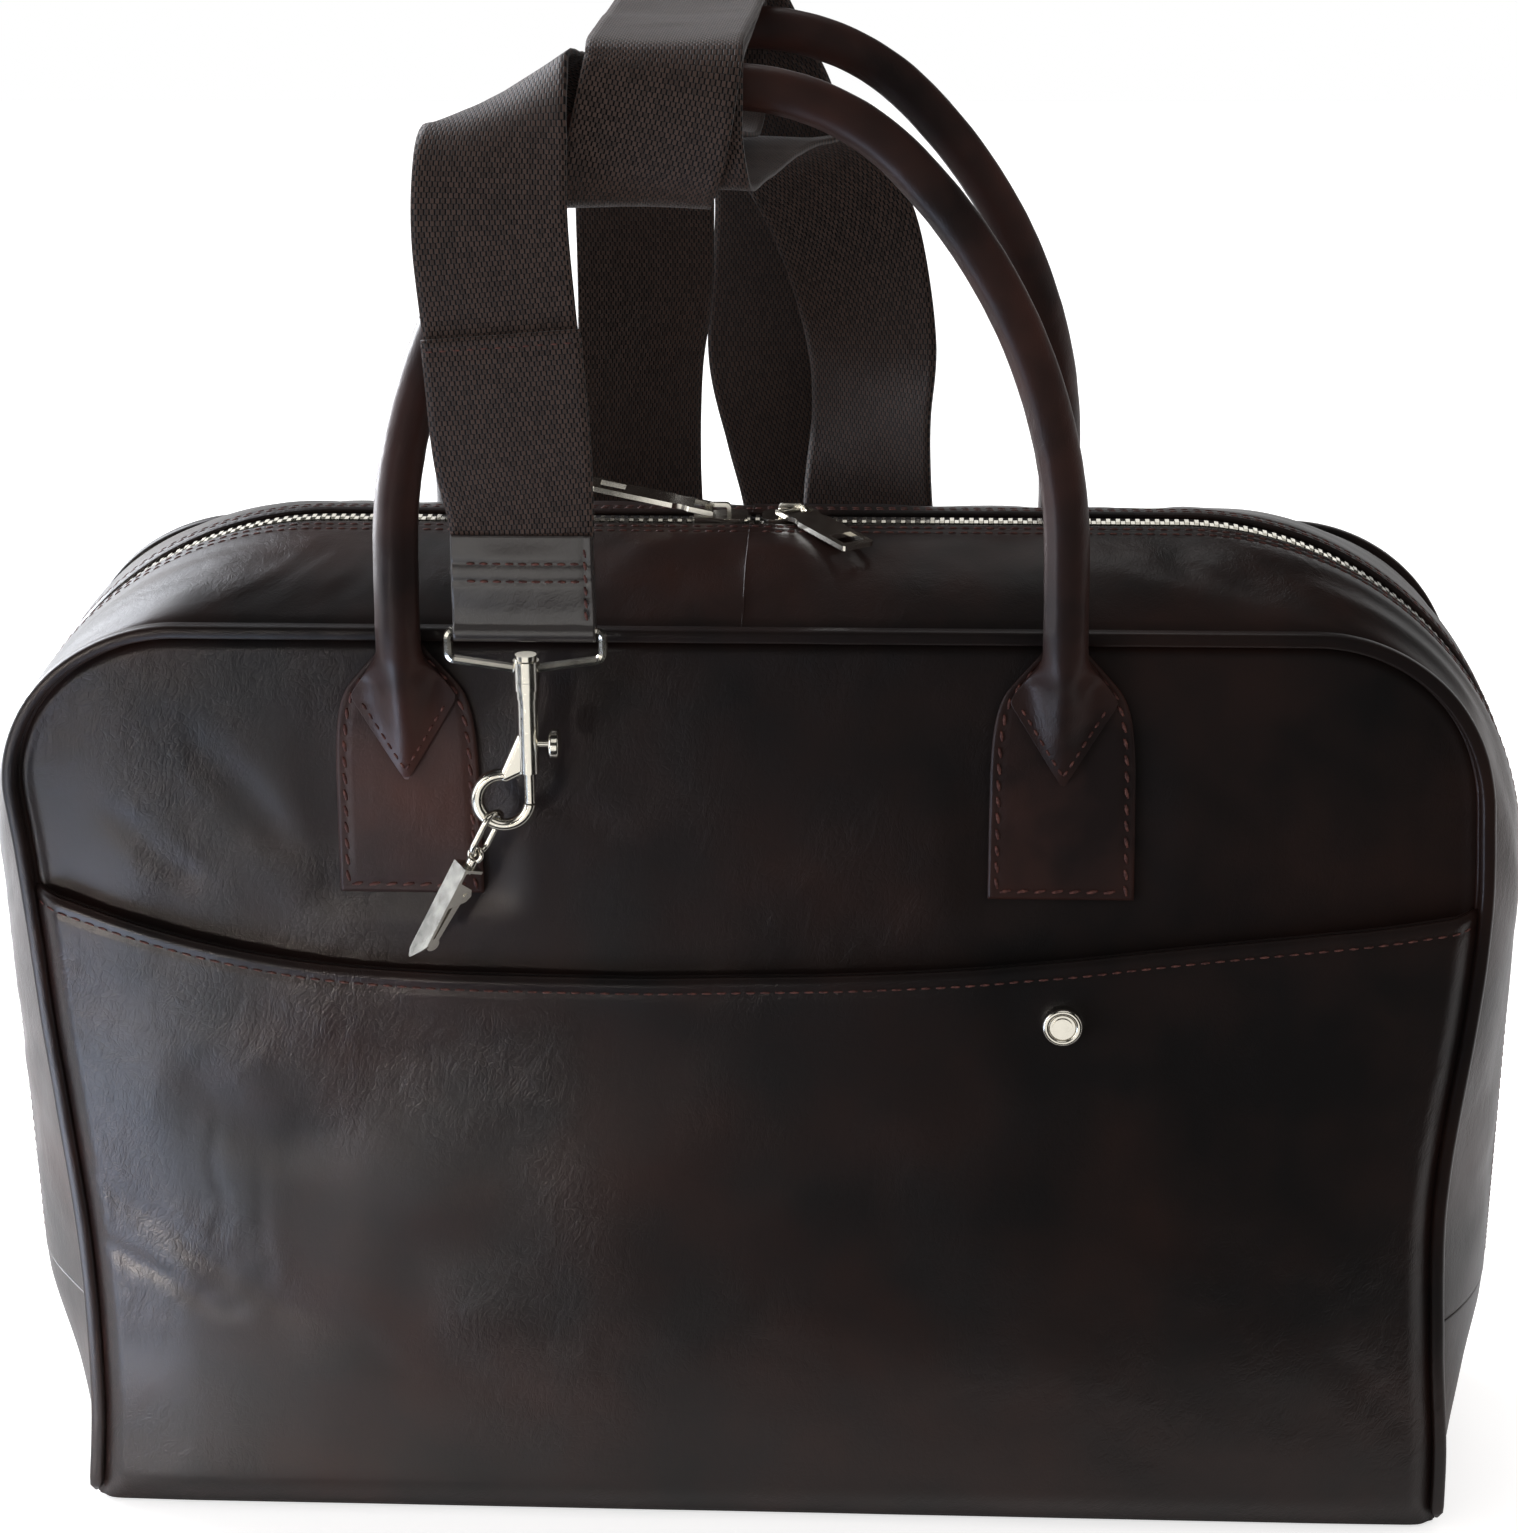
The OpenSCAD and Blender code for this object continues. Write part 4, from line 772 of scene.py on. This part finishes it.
def make_piping(name, side):
    def place(u, v):
        half = min(v, 1 - v) * 2
        x, z, angle = outline(BODY_W - 2 * PIPING_R, BODY_H - PIPING_R, CORNER_R - PIPING_R, PIPING_R,
                              station(half, 0.465, 0.705))
        r = PIPING_R * (0.25 + 0.75 * smooth(0, 0.006, half)) * (1 + 0.03 * ripple(v * 300, 0, 4, 5))
        out = r * squared(math.cos(2 * math.pi * u))
        deep = 1.25 * r * squared(math.sin(2 * math.pi * u))
        right = 1 if v >= 0.5 else -1
        return settle(Vector((right * (x + out * math.cos(angle)), side * (PIPING_Y + 0.3 - deep),
                              z + out * math.sin(angle))))

    finish_piece(bent_grid(20, 420, place, closed=True), name + "_leather", welt_calf, "bag", [name])


make_piping("piping_front", -1)
make_piping("piping_back", 1)

# %% [markdown]
# ## Gusset
# The gusset is the strip that makes the bag's depth. It bulges from the
# piping up to the zip, and its edge along the zip is turned in and sewn with
# two rows. The leather is pushed in and out along its length, most at the
# corners, where a flat strip has to go round a bend.

# %% Gusset strips and side gussets
ROWS_FROM_EDGE = (3.0, 6.2)
STRIPS = {"gusset_front_right": (1, -1, 31), "gusset_front_left": (-1, -1, 47),
          "gusset_back_right": (1, 1, 53), "gusset_back_left": (-1, 1, 61)}


def bulge_share(y):
    """1 on the ridge of the gusset and 0 at its seams."""
    low = math.sqrt(BULGE_R**2 - GUSSET_Y**2)
    return (math.sqrt(max(BULGE_R**2 - y * y, 0)) - low) / BULGE


def strip_point(t, y, lift, seed, overlaps):
    """Point on the gusset's outer face at outline station t and depth y, lifted off along its outward direction.
    A strip that overlaps lies over the end of its neighbour at the middle of the top."""
    x, z, angle = outline(BODY_W - 2 * PIPING_R, BODY_H - PIPING_R, CORNER_R - PIPING_R, ZIP_END, t)
    rx, rz, _ = outline(BODY_W + 2 * BULGE, BODY_H + BULGE, RIDGE_R, ZIP_END, t)
    s = bulge_share(y)
    along = x + z * 1.3
    free = smooth(GUSSET_Y, 34, y) * smooth(STRIP_GAP + 5, 22, y) * smooth(0, 0.15, t)
    at_corner = 0.4 + smooth(0.8, 1.4, t) * smooth(2.4, 1.9, t)
    crumple = free * (ripple(along, y, 26, seed + 0.5) + 0.5 * ripple(along, y, 11, seed + 7) * at_corner)
    rows = sum(0.3 * hump(y - STRIP_GAP - d, 0.9) for d in ROWS_FROM_EDGE)
    off = lift + crumple - rows - 1.5 * hump(GUSSET_Y - y, 1.6) - 0.8 * hump(y - STRIP_GAP, 0.8)
    if t > 2 and overlaps:
        off += 0.15 * smooth(4, 0, x)
    return Vector((x + (rx - x) * s + off * math.cos(angle), y, z + (rz - z) * s + off * math.sin(angle)))


def strip_depth(v):
    """Depths across the strip, closer together near the zip where the seams are."""
    return STRIP_GAP + (GUSSET_Y + SEAM_ALLOWANCE - STRIP_GAP) * (0.62 * v * v + 0.38 * v)


def make_strip(name, right, front, seed):
    def place(u, v):
        t = station(u, 0.385, 0.655)
        p = strip_point(t, strip_depth(v), 0, seed, right > 0)
        # the last two columns close the seam at the middle
        if t > 2.98:
            p.x = -0.3 if t > 2.995 else -0.1
        return settle(Vector((p.x * right, p.y * front, p.z)))

    finish_leather(bent_grid(260, 40, place), name, strip_calf, (right * 0.5, 0.5 * front, 1))


for name, form in STRIPS.items():
    make_strip(name, *form)


def make_side(name, right, seed):
    def place(u, v):
        y = (GUSSET_Y + SEAM_ALLOWANCE) * (2 * u - 1)
        z = (ZIP_END - 0.3) * v + 0.3
        b = (BULGE + 2.9 * v * v) * (0.12 + 0.88 * math.sin(math.pi / 2 * v))
        x = (BASE_W - 2 * PIPING_R) / 2 + z * math.tan(TAPER) + b * max(bulge_share(min(abs(y), GUSSET_Y)), 0)
        crease = 3.0 * hump(y, 5) * smooth(0.0, 0.5, v) * smooth(1, 0.8, v)
        x += smooth(GUSSET_Y, 36, abs(y)) * smooth(1, 0.85, v) * (1.3 * ripple(y, z, 30, seed) - crease)
        return settle(Vector(((x - hump(GUSSET_Y - abs(y), 2.2)) * right, y, z)))

    finish_leather(bent_grid(90, 50, place), name, strip_calf, (right, 0, 0))


make_side("side_gusset_right", 1, 71)
make_side("side_gusset_left", -1, 83)

# %% [markdown]
# ## Base
# The base is a plain piece of the same leather over a stiff board, and it
# bellies a little between its seams.

# %% Base
base_low, base_high = box_mm("base_panel")


def base_place(u, v):
    x = base_low.x - LEATHER + (base_high.x - base_low.x + 2 * LEATHER) * u
    y = base_low.y + (base_high.y - base_low.y) * v
    inside = smooth(0, 0.06, u) * smooth(1, 0.94, u) * smooth(0, 0.15, v) * smooth(1, 0.85, v)
    return settle(Vector((x, y, 0.1 + 0.5 * (1 - inside) + 0.25 * (1 + ripple(x, y, 50, 91)) * inside)))


finish_leather(bent_grid(160, 60, base_place), "base_panel", calf, (0, 0, -1))

# %% [markdown]
# ## Zip tape
# The tape is a woven ribbon folded over the teeth's feet; only a narrow edge
# shows between the teeth and the leather. It follows the same line as the
# teeth, which is the ridge of the gusset sunk by about 2 mm.

# %% Zip tape
ZIP_SINK, TAPE_EDGE, TAPE_W = 2.3, 1.1, 12
ZIP_R = RIDGE_R - ZIP_SINK
ZIP_HALF = BODY_W / 2 + BULGE - RIDGE_R
ZIP_CZ = BODY_H + BULGE - RIDGE_R
ZIP_ARC = ZIP_R * (math.pi / 2 + TAPER)
ZIP_SIDE = (ZIP_CZ - ZIP_R * math.sin(TAPER) - ZIP_END) / math.cos(TAPER)
ZIP_LEN = ZIP_HALF + ZIP_ARC + ZIP_SIDE
# where the two sliders meet, the gap between them, their length, how far they hold the rows apart
SLIDER_MID, SLIDER_GAP, SLIDER_L, SPREAD = 0.7, 4, 15, 1.7


def zip_point(s, y, lift):
    """Point at distance s along the zip, at depth y and height lift above its line."""
    u = abs(s) - ZIP_HALF
    if u <= 0:
        return Vector((s, y, ZIP_CZ + ZIP_R + lift))
    a = min(u, ZIP_ARC) / ZIP_R
    past = max(u - ZIP_ARC, 0)
    x = ZIP_HALF + past * math.cos(a) + (ZIP_R + lift) * math.sin(a)
    return Vector((math.copysign(x, s), y, ZIP_CZ - past * math.sin(a) + (ZIP_R + lift) * math.cos(a)))


def spread(s):
    """How far the sliders hold each row of teeth from the middle."""
    near, far = SLIDER_GAP / 2 + SLIDER_L * 0.25, SLIDER_GAP / 2 + SLIDER_L * 0.75
    share = (abs(s - SLIDER_MID) - near) / (far - near)
    return SPREAD * (1 + math.cos(math.pi * min(max(share, 0), 1))) / 2


def make_tape(name, side):
    drop = LEATHER + BULGE_R - math.sqrt(BULGE_R**2 - TAPE_W**2) + 2 * SEAM_GAP - ZIP_SINK

    def place(u, v):
        s = ZIP_LEN * (2 * v - 1)
        edge = TAPE_EDGE + spread(s)
        y = edge + (TAPE_W - edge) * u
        return zip_point(s, side * y, -drop * smooth(STRIP_GAP - 0.6, TAPE_W, y))

    bm = face_front(bent_grid(10, 420, place, weave=(TAPE_W, 2 * ZIP_LEN)), (0, 0, 1))
    finish_piece(bm, name + "_cloth", zip_cloth, "bag", [name], wall=0.5, offset=0)


make_tape("zip_tape_front", -1)
make_tape("zip_tape_back", 1)

# %% [markdown]
# ## Handles
# A handle is a strip of leather rolled round a cord and sewn along its inner
# side. At both ends the cord stops and the leather spreads into a pointed
# tongue that is sewn flat on a patch. The whole of it is one skin here, from
# tongue tip to tongue tip: a closed tube whose section changes from a circle
# to a flat arrow.

# %% Handle line
HANDLE_R = 6
HANDLE_RISE, TOP_R, SHOULDER_R = 141, 64, 147
HANDLE_LEAN = math.radians(5.5)
HANDLE_Z = 270
HANDLE_Y = FACE + LEATHER + SEAM_GAP + HANDLE_R
TURN = math.asin((SHOULDER_R - HANDLE_X) / (SHOULDER_R - TOP_R))
LEG = HANDLE_RISE - TOP_R - (SHOULDER_R - TOP_R) * math.cos(TURN)
SHOULDER_ARC = SHOULDER_R * (math.pi / 2 - TURN)
HALF_HANDLE = LEG + SHOULDER_ARC + TOP_R * TURN


def handle_line(s):
    """Point and outward angle of the handle's middle line, s millimetres up from its right foot."""
    if s < LEG:
        return HANDLE_X, s, 0.0
    if s < LEG + SHOULDER_ARC:
        a = (s - LEG) / SHOULDER_R
        return HANDLE_X + SHOULDER_R * (math.cos(a) - 1), LEG + SHOULDER_R * math.sin(a), a
    a = math.pi / 2 - TURN + (s - LEG - SHOULDER_ARC) / TOP_R
    return TOP_R * math.cos(a), HANDLE_RISE - TOP_R * (1 - math.sin(a)), a


# the tongue: heights of its tip and its widest place, and its half width at a height
TONGUE_TIP, TONGUE_WIDE = 224.5, 248
TONGUE_SIDE = [(TONGUE_TIP, 0.5), (TONGUE_WIDE - 1.5, 13.7), (TONGUE_WIDE, 14.3), (TONGUE_WIDE + 1.5, 13.7),
               (257, 8.4), (260, 6.5), (263, 6)]
TONGUE_L = HANDLE_Z - TONGUE_TIP
TONGUE_RIM = 1.5
PATCH_FACE = FACE + LEATHER
TONGUE_FOOT = PATCH_FACE - 0.1


def straight_through(points, x):
    """Straight lines through (x, value) points."""
    for (x0, y0), (x1, y1) in zip(points, points[1:]):
        if x <= x1:
            return y0 + (y1 - y0) * max(x - x0, 0) / (x1 - x0)
    return points[-1][1]


def tongue_section(z, a):
    """Sideways and outward place on the skin of a tongue at height z, a turned from +X over the front."""
    half = straight_through(TONGUE_SIDE, z)
    flat = smooth(265, 252, z)
    c, s = math.cos(a), math.sin(a)
    crest = line_through([(TONGUE_TIP, 1.7), (236, 4.2), (246, 7.6), (256, 10.6), (266, 12)], z)
    ridge = line_through([(TONGUE_TIP, 2.5), (236, 4.6), (248, 5.6), (262, 6.5)], z)
    top = TONGUE_RIM + (crest - TONGUE_RIM) * math.exp(-abs(half * c / ridge) ** 2.2) if s >= 0 else 0
    return half * c, HANDLE_R * (1 + s) * (1 - flat) + top * flat


def make_handle(name, side, seed):
    total = 2 * (HALF_HANDLE + TONGUE_L)

    def place(u, v):
        a = 2 * math.pi * u
        s = total * min(v, 1 - v) - TONGUE_L
        right = 1 if v < 0.5 else -1
        if s < 0:
            z = HANDLE_Z + s
            x, y = tongue_section(z, a)
            x = right * (HANDLE_X + x)
            y += TONGUE_FOOT + (HANDLE_Y - HANDLE_R - TONGUE_FOOT) * smooth(245, HANDLE_Z, z)
            y += 0.25 * ripple(x, z, 5, seed) * smooth(TONGUE_TIP, 240, z)
            return Vector((HANDLE_SHIFT + x, side * y, z))
        px, pz, angle = handle_line(s)
        creases = 0.096 * ripple(s + 3 * math.sin(a), 6 * math.cos(a), 5, seed)
        seam = 0.5 * hump(a - 2.35 - 0.35 * smooth(0, 150, s), 0.1)
        r = HANDLE_R * (1 + 0.012 * ripple(s, 0, 22, seed + 5)) + creases - seam
        x = right * (px + r * math.cos(a) * math.cos(angle))
        y, z = r * math.sin(a), pz + r * math.cos(a) * math.sin(angle)
        c, s = math.cos(HANDLE_LEAN), math.sin(HANDLE_LEAN)
        return Vector((HANDLE_SHIFT + x, side * (HANDLE_Y + y * c - z * s), HANDLE_Z + z * c + y * s))

    piece = finish_piece(bent_grid(32, 560, place, closed=True), name + "_leather", handle_calf, None,
                         [name, "handle_tabs_" + name.split("_")[1]])
    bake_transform(piece)


make_handle("handle_front", -1, 5.5)
make_handle("handle_back", 1, 9.5)

# %% [markdown]
# ## Patches
# Under each tongue a patch spreads the load. It is cut with rounded shoulders,
# its edge is left raw, and it is sewn down close to the edge.

# %% Patches
PATCH_Z, PATCH_TOP, PATCH_T, PATCH_ROW = 191, 263, 1.5, 2.3
PATCH_SIDE = [(PATCH_Z, 19.8), (215, 19.6), (231, 19.3), (240, 18.5), (246, 17.2), (250, 15.4), (255, 11.4),
              (260, 7), (PATCH_TOP, 4.6)]


def patch(foot, side):
    """The patch under the tongue on the left (-1) or right (1) of a handle."""
    def place(u, v):
        z = PATCH_Z + (PATCH_TOP - PATCH_Z) * v
        half = line_through(PATCH_SIDE, z)
        off = (2 * u - 1) * half
        x = HANDLE_SHIFT + foot * HANDLE_X + off
        rim = min(half - abs(off), z - PATCH_Z)
        groove = 0.35 * hump(rim - PATCH_ROW, 0.8) + 0.3 * hump(rim, 0.6)
        y = panel_out(x, z, side) + 1.45 - groove + 0.12 * ripple(x, z, 9, PANEL_FORM[side][0] + 20)
        return Vector((x, side * y, z))
    return face_front(bent_grid(40, 76, place), (0, side, 0))


for name, side in (("patches_front", -1), ("patches_back", 1)):
    bm = joined(patch(foot, side) for foot in (-1, 1))
    finish_leather(bm, name, handle_calf, (0, side, 0), wall=PATCH_T)

# %% [markdown]
# ## Strap
# The shoulder strap is one length of webbing. From its front end it rises,
# folds over the front handle, turns twice round both handles with a long drop
# behind the bag between the turns, and ends on its rear hook. The route gives
# its middle line and the direction of its width, and the band is laid along it
# with its weave counted in millimetres, so the ribs never stretch.

# %% Strap route
STRAP_W, STRAP_T, WEAVE_STEP = 40, 1.3, 2.2
HEM = 0.92
# x, y and height above the handles' feet, and the direction of the width where it isn't straight across
ROUTE = [
    (-56, -70, 5, HEM, 0, 0), (-56, -70, 30, HEM, 0, 0), (-58, -70, 50), (-60, -70, 80), (-62, -69, 105, 1, 0, 0.1),
    (-62, -66, 122, 0.95, 0, 0.3), (-61, -60, 134, 0.9, 0, 0.43), (-59, -50, 139, 0.87, 0, 0.5),
    (-54, -41, 134, 0.75, 0, 0.65), (-46, -36, 128, 0.6, 0, 0.8), (-36, -30, 122, 0.7, 0, 0.7),
    (-26, -16, 118, 0.9, 0, 0.4), (-19, 8, 116.5, 1, 0, 0.1), (-18, 30, 116.5), (-18, 50, 118.5), (-18, 56.5, 122.5),
    (-18, 58, 130), (-18, 57.5, 139), (-18, 54, 146), (-18, 46, 148.5), (-18, 0, 148.6), (-18, -46, 148.5),
    (-18, -54, 146), (-18, -57.5, 138), (-18, -58, 128), (-17, -55, 119), (-16, -46, 114), (-13, -20, 112.5),
    (-8, 10, 112), (-2, 36, 111, 1, -0.1, 0), (5, 52, 107.5, 1, -0.1, 0), (13, 62, 100, 1, 0, 0.1),
    (20, 67, 88, 1, 0, 0.2), (26, 69, 72, 1, 0, 0.15), (31, 70, 46, 0.95, -0.3, 0), (31, 70, 24, 0.87, -0.5, 0),
    (30, 70, -2, 0.95, -0.3, 0), (31, 70, -25), (30, 71, -40), (27, 75, -51), (23, 80, -55), (18, 86, -51),
    (15, 89, -40), (12, 90, -8, 1, 0, 0.1), (7, 89, 14, 1, 0, 0.1), (2, 88, 38), (4, 85, 66), (5, 79, 90),
    (1, 71, 112, 1, 0, 0.2), (-6, 65, 128, 1, 0, 0.2), (-11, 62, 140, 1, 0, 0.1), (-14, 57, 148.5), (-16, 46, 151.8),
    (-17, 0, 152.2), (-18, -46, 151.8), (-18, -57, 148.5), (-19.5, -61.5, 140, 1, 0, 0.1), (-22, -62, 128, 1, 0, 0.15),
    (-25, -59, 117, 1, 0, 0.1), (-27, -50, 110), (-28, -25, 108.3), (-30, 8, 108), (-32, 36, 106.8), (-33, 54, 103),
    (-34, 64, 94), (-34.5, 69, 80), (-35, 72, 60, 0.97, 0.2, 0), (-37, 73, 35, 0.87, 0.5, 0),
    (-38, 73, 10, 0.87, 0.5, 0), (-39, 73, -15, 0.97, 0.25, 0), (-40, 72, -38), (-40, 72, -56, HEM, 0, 0),
    (-40, 72, -80, HEM, 0, 0),
]
ROUTE = [p if len(p) == 6 else (*p, 1, 0, 0) for p in ROUTE]


def route_at(i, t):
    """Place and width direction on the smooth curve between points i and i + 1 of the route."""
    last = len(ROUTE) - 1
    a, b, c, d = (ROUTE[min(max(k, 0), last)] for k in (i - 1, i, i + 1, i + 2))
    return [q + t * ((r - p) / 2 + t * ((p - 2.5 * q + 2 * r - s / 2) + t * (1.5 * q - 1.5 * r + (s - p) / 2)))
            for p, q, r, s in zip(a, b, c, d)]


fine = [route_at(i, k / 24) for i in range(len(ROUTE) - 1) for k in range(24)] + [list(ROUTE[-1])]
places = [Vector(p[:3]) + Vector((0, 0, HANDLE_Z)) for p in fine]
widths = [Vector(p[3:]) for p in fine]
runs = [0.0]
for a, b in zip(places, places[1:]):
    runs.append(runs[-1] + (b - a).length)
STRAP_L = runs[-1]
print("webbing", round(STRAP_L), "mm long from leather end to leather end")


def strap_frame(s):
    """Middle, half width direction and outward direction of the band, s millimetres from its front end."""
    i = min(max(bisect.bisect_right(runs, s) - 1, 0), len(runs) - 2)
    t = min(max((s - runs[i]) / (runs[i + 1] - runs[i]), 0), 1)
    ahead = (places[min(i + 4, len(places) - 1)] - places[max(i - 3, 0)]).normalized()
    width = widths[i].lerp(widths[i + 1], t)
    level = (width - ahead * width.dot(ahead)).normalized() * width.length
    return places[i].lerp(places[i + 1], t), level * STRAP_W / 2, ahead.cross(level).normalized()


def band_point(u, s, cup=0.5):
    """Point on the band at share u of its width; cup is how far its edges curl."""
    middle, half, out = strap_frame(s)
    x = 2 * u - 1
    soft = cup * (x * x - 0.4) + 0.5 * ripple(s, x * 8, 24, 3.5) + 0.16 * ripple(s, x * 12, 7, 9.5)
    return middle + half * x + out * soft


bm = bent_grid(20, round(STRAP_L / WEAVE_STEP), lambda u, v: band_point(u, STRAP_L * v), weave=(STRAP_W, STRAP_L))
band = finish_piece(bm, "strap_webbing_cloth", webbing, "bag", ["strap_webbing"], wall=STRAP_T, offset=0)

# %% [markdown]
# The front end of the webbing is turned back on itself: the loose end lies on
# the face of the strap and is sewn down across its edge.

# %% Turned-back end
TURN_LOW, TURN_HIGH, TURN_ROW = 22, 76, 3.2
TURN_L = TURN_HIGH - TURN_LOW


def turn_place(u, v):
    s = TURN_LOW + TURN_L * v
    p = band_point(1.03 * u - 0.01, s, cup=0.35)
    p.y -= STRAP_T + 0.25 - 0.5 * hump(s - TURN_HIGH + TURN_ROW, 0.8) + 0.5 * smooth(30, 24, s)
    return p


bm = bent_grid(20, 30, turn_place, weave=(STRAP_W, TURN_L))
turned_end = finish_piece(bm, "strap_turned_end", webbing, "bag", wall=STRAP_T, offset=0)

# %% [markdown]
# ## Leather ends of the strap
# A piece of polished calf is folded round the bar of each wire loop and sewn
# through the webbing. It is a strip bent into a long U; its middle line runs
# down the back, round the bar, and up the front.

# %% Leather ends
FRONT_BAR = Vector((-56, -70, HANDLE_Z + 1))
REAR_BAR = Vector((-40, 72, HANDLE_Z - 84))
END_W, END_H, END_T, FRONT_LIFT = 37.4, 27, 1.4, 1.25
EYE = 1.5 + END_T / 2
SLIT = 0.9 + END_T / 2
END_ROWS, SIDE_ROW = (19.4, 14.6), 16.6


def end_line(s, front_lift):
    """Depth and height of the middle line of a leather end; s runs 0 to 1 from its back edge to its front edge."""
    low = math.sqrt(EYE * EYE - SLIT * SLIT) + 0.6
    start = math.atan2(low, SLIT)
    straight = END_H - low
    bend = EYE * (math.pi + 2 * start) * 0.72
    run = s * (2 * straight + bend)
    if run < straight:
        return SLIT, END_H - run
    if run < straight + bend:
        share = (run - straight) / bend
        a = start - share * (math.pi + 2 * start)
        r = EYE + (math.hypot(SLIT, low) - EYE) * abs(2 * share - 1) ** 3
        return r * math.cos(a), r * math.sin(a)
    up = run - straight - bend
    return -SLIT - front_lift * smooth(3, 14, up), low + up


def make_end(name, bar, front_lift, seed):
    def place(u, v):
        y, z = end_line(v, front_lift)
        side = abs(2 * u - 1)
        x = (u - 0.5) * END_W * (1 - 0.012 * smooth(4, 27, z))
        puff = -0.3 * hump((0.5 - u) * END_W + SIDE_ROW, 0.9) if z > 4 else 0
        puff -= sum(0.3 * hump(z - row, 0.9) for row in END_ROWS)
        puff += 0.5 * (1 - side * side) * smooth(2, 10, z) * smooth(27, 20, z)
        out = math.copysign(1, y) * (puff + 0.1 * ripple(x, z, 6, seed)) if z > 2 else 0
        return bar + Vector((x, y + out, z))

    bm = bent_grid(56, 90, place)
    bm.normal_update()
    front = min(bm.faces, key=lambda f: f.calc_center_median().y)
    if front.normal.y > 0:
        bmesh.ops.reverse_faces(bm, faces=bm.faces)
    return finish_piece(bm, name + "_leather", polished_calf, "bag", [name], wall=END_T, offset=0)


shiny.objects.link(make_end("strap_end_front", FRONT_BAR, FRONT_LIFT, 4.4))
shiny.objects.link(make_end("strap_end_rear", REAR_BAR, 0.0, 6.6))

# %% [markdown]
# ## Seams
# Every seam is a lockstitch: the thread dips into the leather between short
# visible stitches. Each stitch is one slim bead sunk halfway in. The pocket's
# hem has stitches 4 mm apart, the patches nearly 5 mm, the rows along the
# zip 3.4 mm.

# %% Stitches on the pocket and the gusset
def finish_stitches(bm, name):
    finish_piece(bm, name, thread, "bag")


bm = bmesh.new()
row = []
for i in range(161):
    u = 0.012 + 0.976 * i / 160
    share = 1 - (STITCH_INSET / (pocket_place(u, 1.0).z - 0.5)) ** 0.8
    row.append(pocket_place(u, share) + Vector((0, -0.05, 0)))
stitch_row(bm, row, Vector((0, -1, 0.05)), 3.0, 0.75, 4.0)
finish_stitches(bm, "pocket_stitches")

bm = bmesh.new()
for right, front, seed in STRIPS.values():
    for inset in ROWS_FROM_EDGE:
        row, outs = [], []
        for i in range(301):
            t = 0.03 + 2.96 * i / 300
            p, o = (strip_point(t, STRIP_GAP + inset, lift, seed, right > 0) for lift in (0.1, 1.1))
            row.append(settle(Vector((p.x * right, p.y * front, p.z))))
            outs.append(Vector(((o - p).x * right, 0.12 * front, (o - p).z)))
        stitch_row(bm, row, outs, 2.5, 0.7, 3.4)
finish_stitches(bm, "gusset_stitches")

# %% Stitches on the patches, tongues and leather ends
def patch_row(centre, side):
    """Path of the stitches down one side of a patch, along its foot and up the other."""
    low, top = PATCH_Z + PATCH_ROW, PATCH_TOP - 3.0
    rise = [low + (top - low) * i / 60 for i in range(61)]
    edge = [(line_through(PATCH_SIDE, z) - PATCH_ROW, z) for z in rise]
    foot = edge[0][0]
    path = [(-off, z) for off, z in edge[::-1]] + [(-foot + 2 * foot * i / 20, low) for i in range(1, 20)] + edge
    return [Vector((centre + off, side * (panel_out(centre + off, z, side) + 1.25), z)) for off, z in path]


def tongue_row(centre, side):
    """Path of the stitches inside a tongue's edge: down to the tip and up again."""
    low, top = TONGUE_TIP + 2.6, TONGUE_WIDE - 1.5
    legs = {-1: [], 1: []}
    for i in range(31):
        z = low + (top - low) * i / 30
        half = straight_through(TONGUE_SIDE, z)
        x, y = tongue_section(z, math.acos(max(half - 2.2, 0.0) / half))
        for sign, leg in legs.items():
            leg.append(Vector((centre + sign * x, side * (TONGUE_FOOT + y), z)))
    return legs[-1][::-1] + legs[1]


bm = bmesh.new()
for side in (-1, 1):
    out = Vector((0, side, 0))
    for foot in (-1, 1):
        centre = HANDLE_SHIFT + foot * HANDLE_X
        stitch_row(bm, patch_row(centre, side), out, 3.7, 1.1, 4.7, 0.22)
        stitch_row(bm, tongue_row(centre, side), out, 2.3, 0.9, 3.2)
finish_stitches(bm, "patch_stitches")

bm = bmesh.new()
for bar, lift, side in ((FRONT_BAR, FRONT_LIFT, -1), (REAR_BAR, 0.0, 1)):
    out = Vector((0, side, 0))
    y = side * (SLIT + END_T / 2) - lift - 0.3 * side
    for z in END_ROWS:
        row = [bar + Vector((x, y + side * (0.1 + 0.5 * (1 - (2 * x / END_W) ** 2)), z)) for x in range(-15, 16, 3)]
        stitch_row(bm, row, out, 2.5, 0.8, 3.4)
    stitch_row(bm, [bar + Vector((SIDE_ROW, y, z)) for z in (3.5, 25)], out, 2.8, 0.9, 3.4, 0.2)
row = [turn_place(i / 20, 1 - TURN_ROW / TURN_L) + Vector((0, -STRAP_T / 2, 0)) for i in range(21)]
stitch_row(bm, row, Vector((0, -1, 0)), 2.6, 0.7, 3.6)
finish_stitches(bm, "strap_stitches")

# %% Finish
bpy.context.scene.view_settings.view_transform = "Standard"
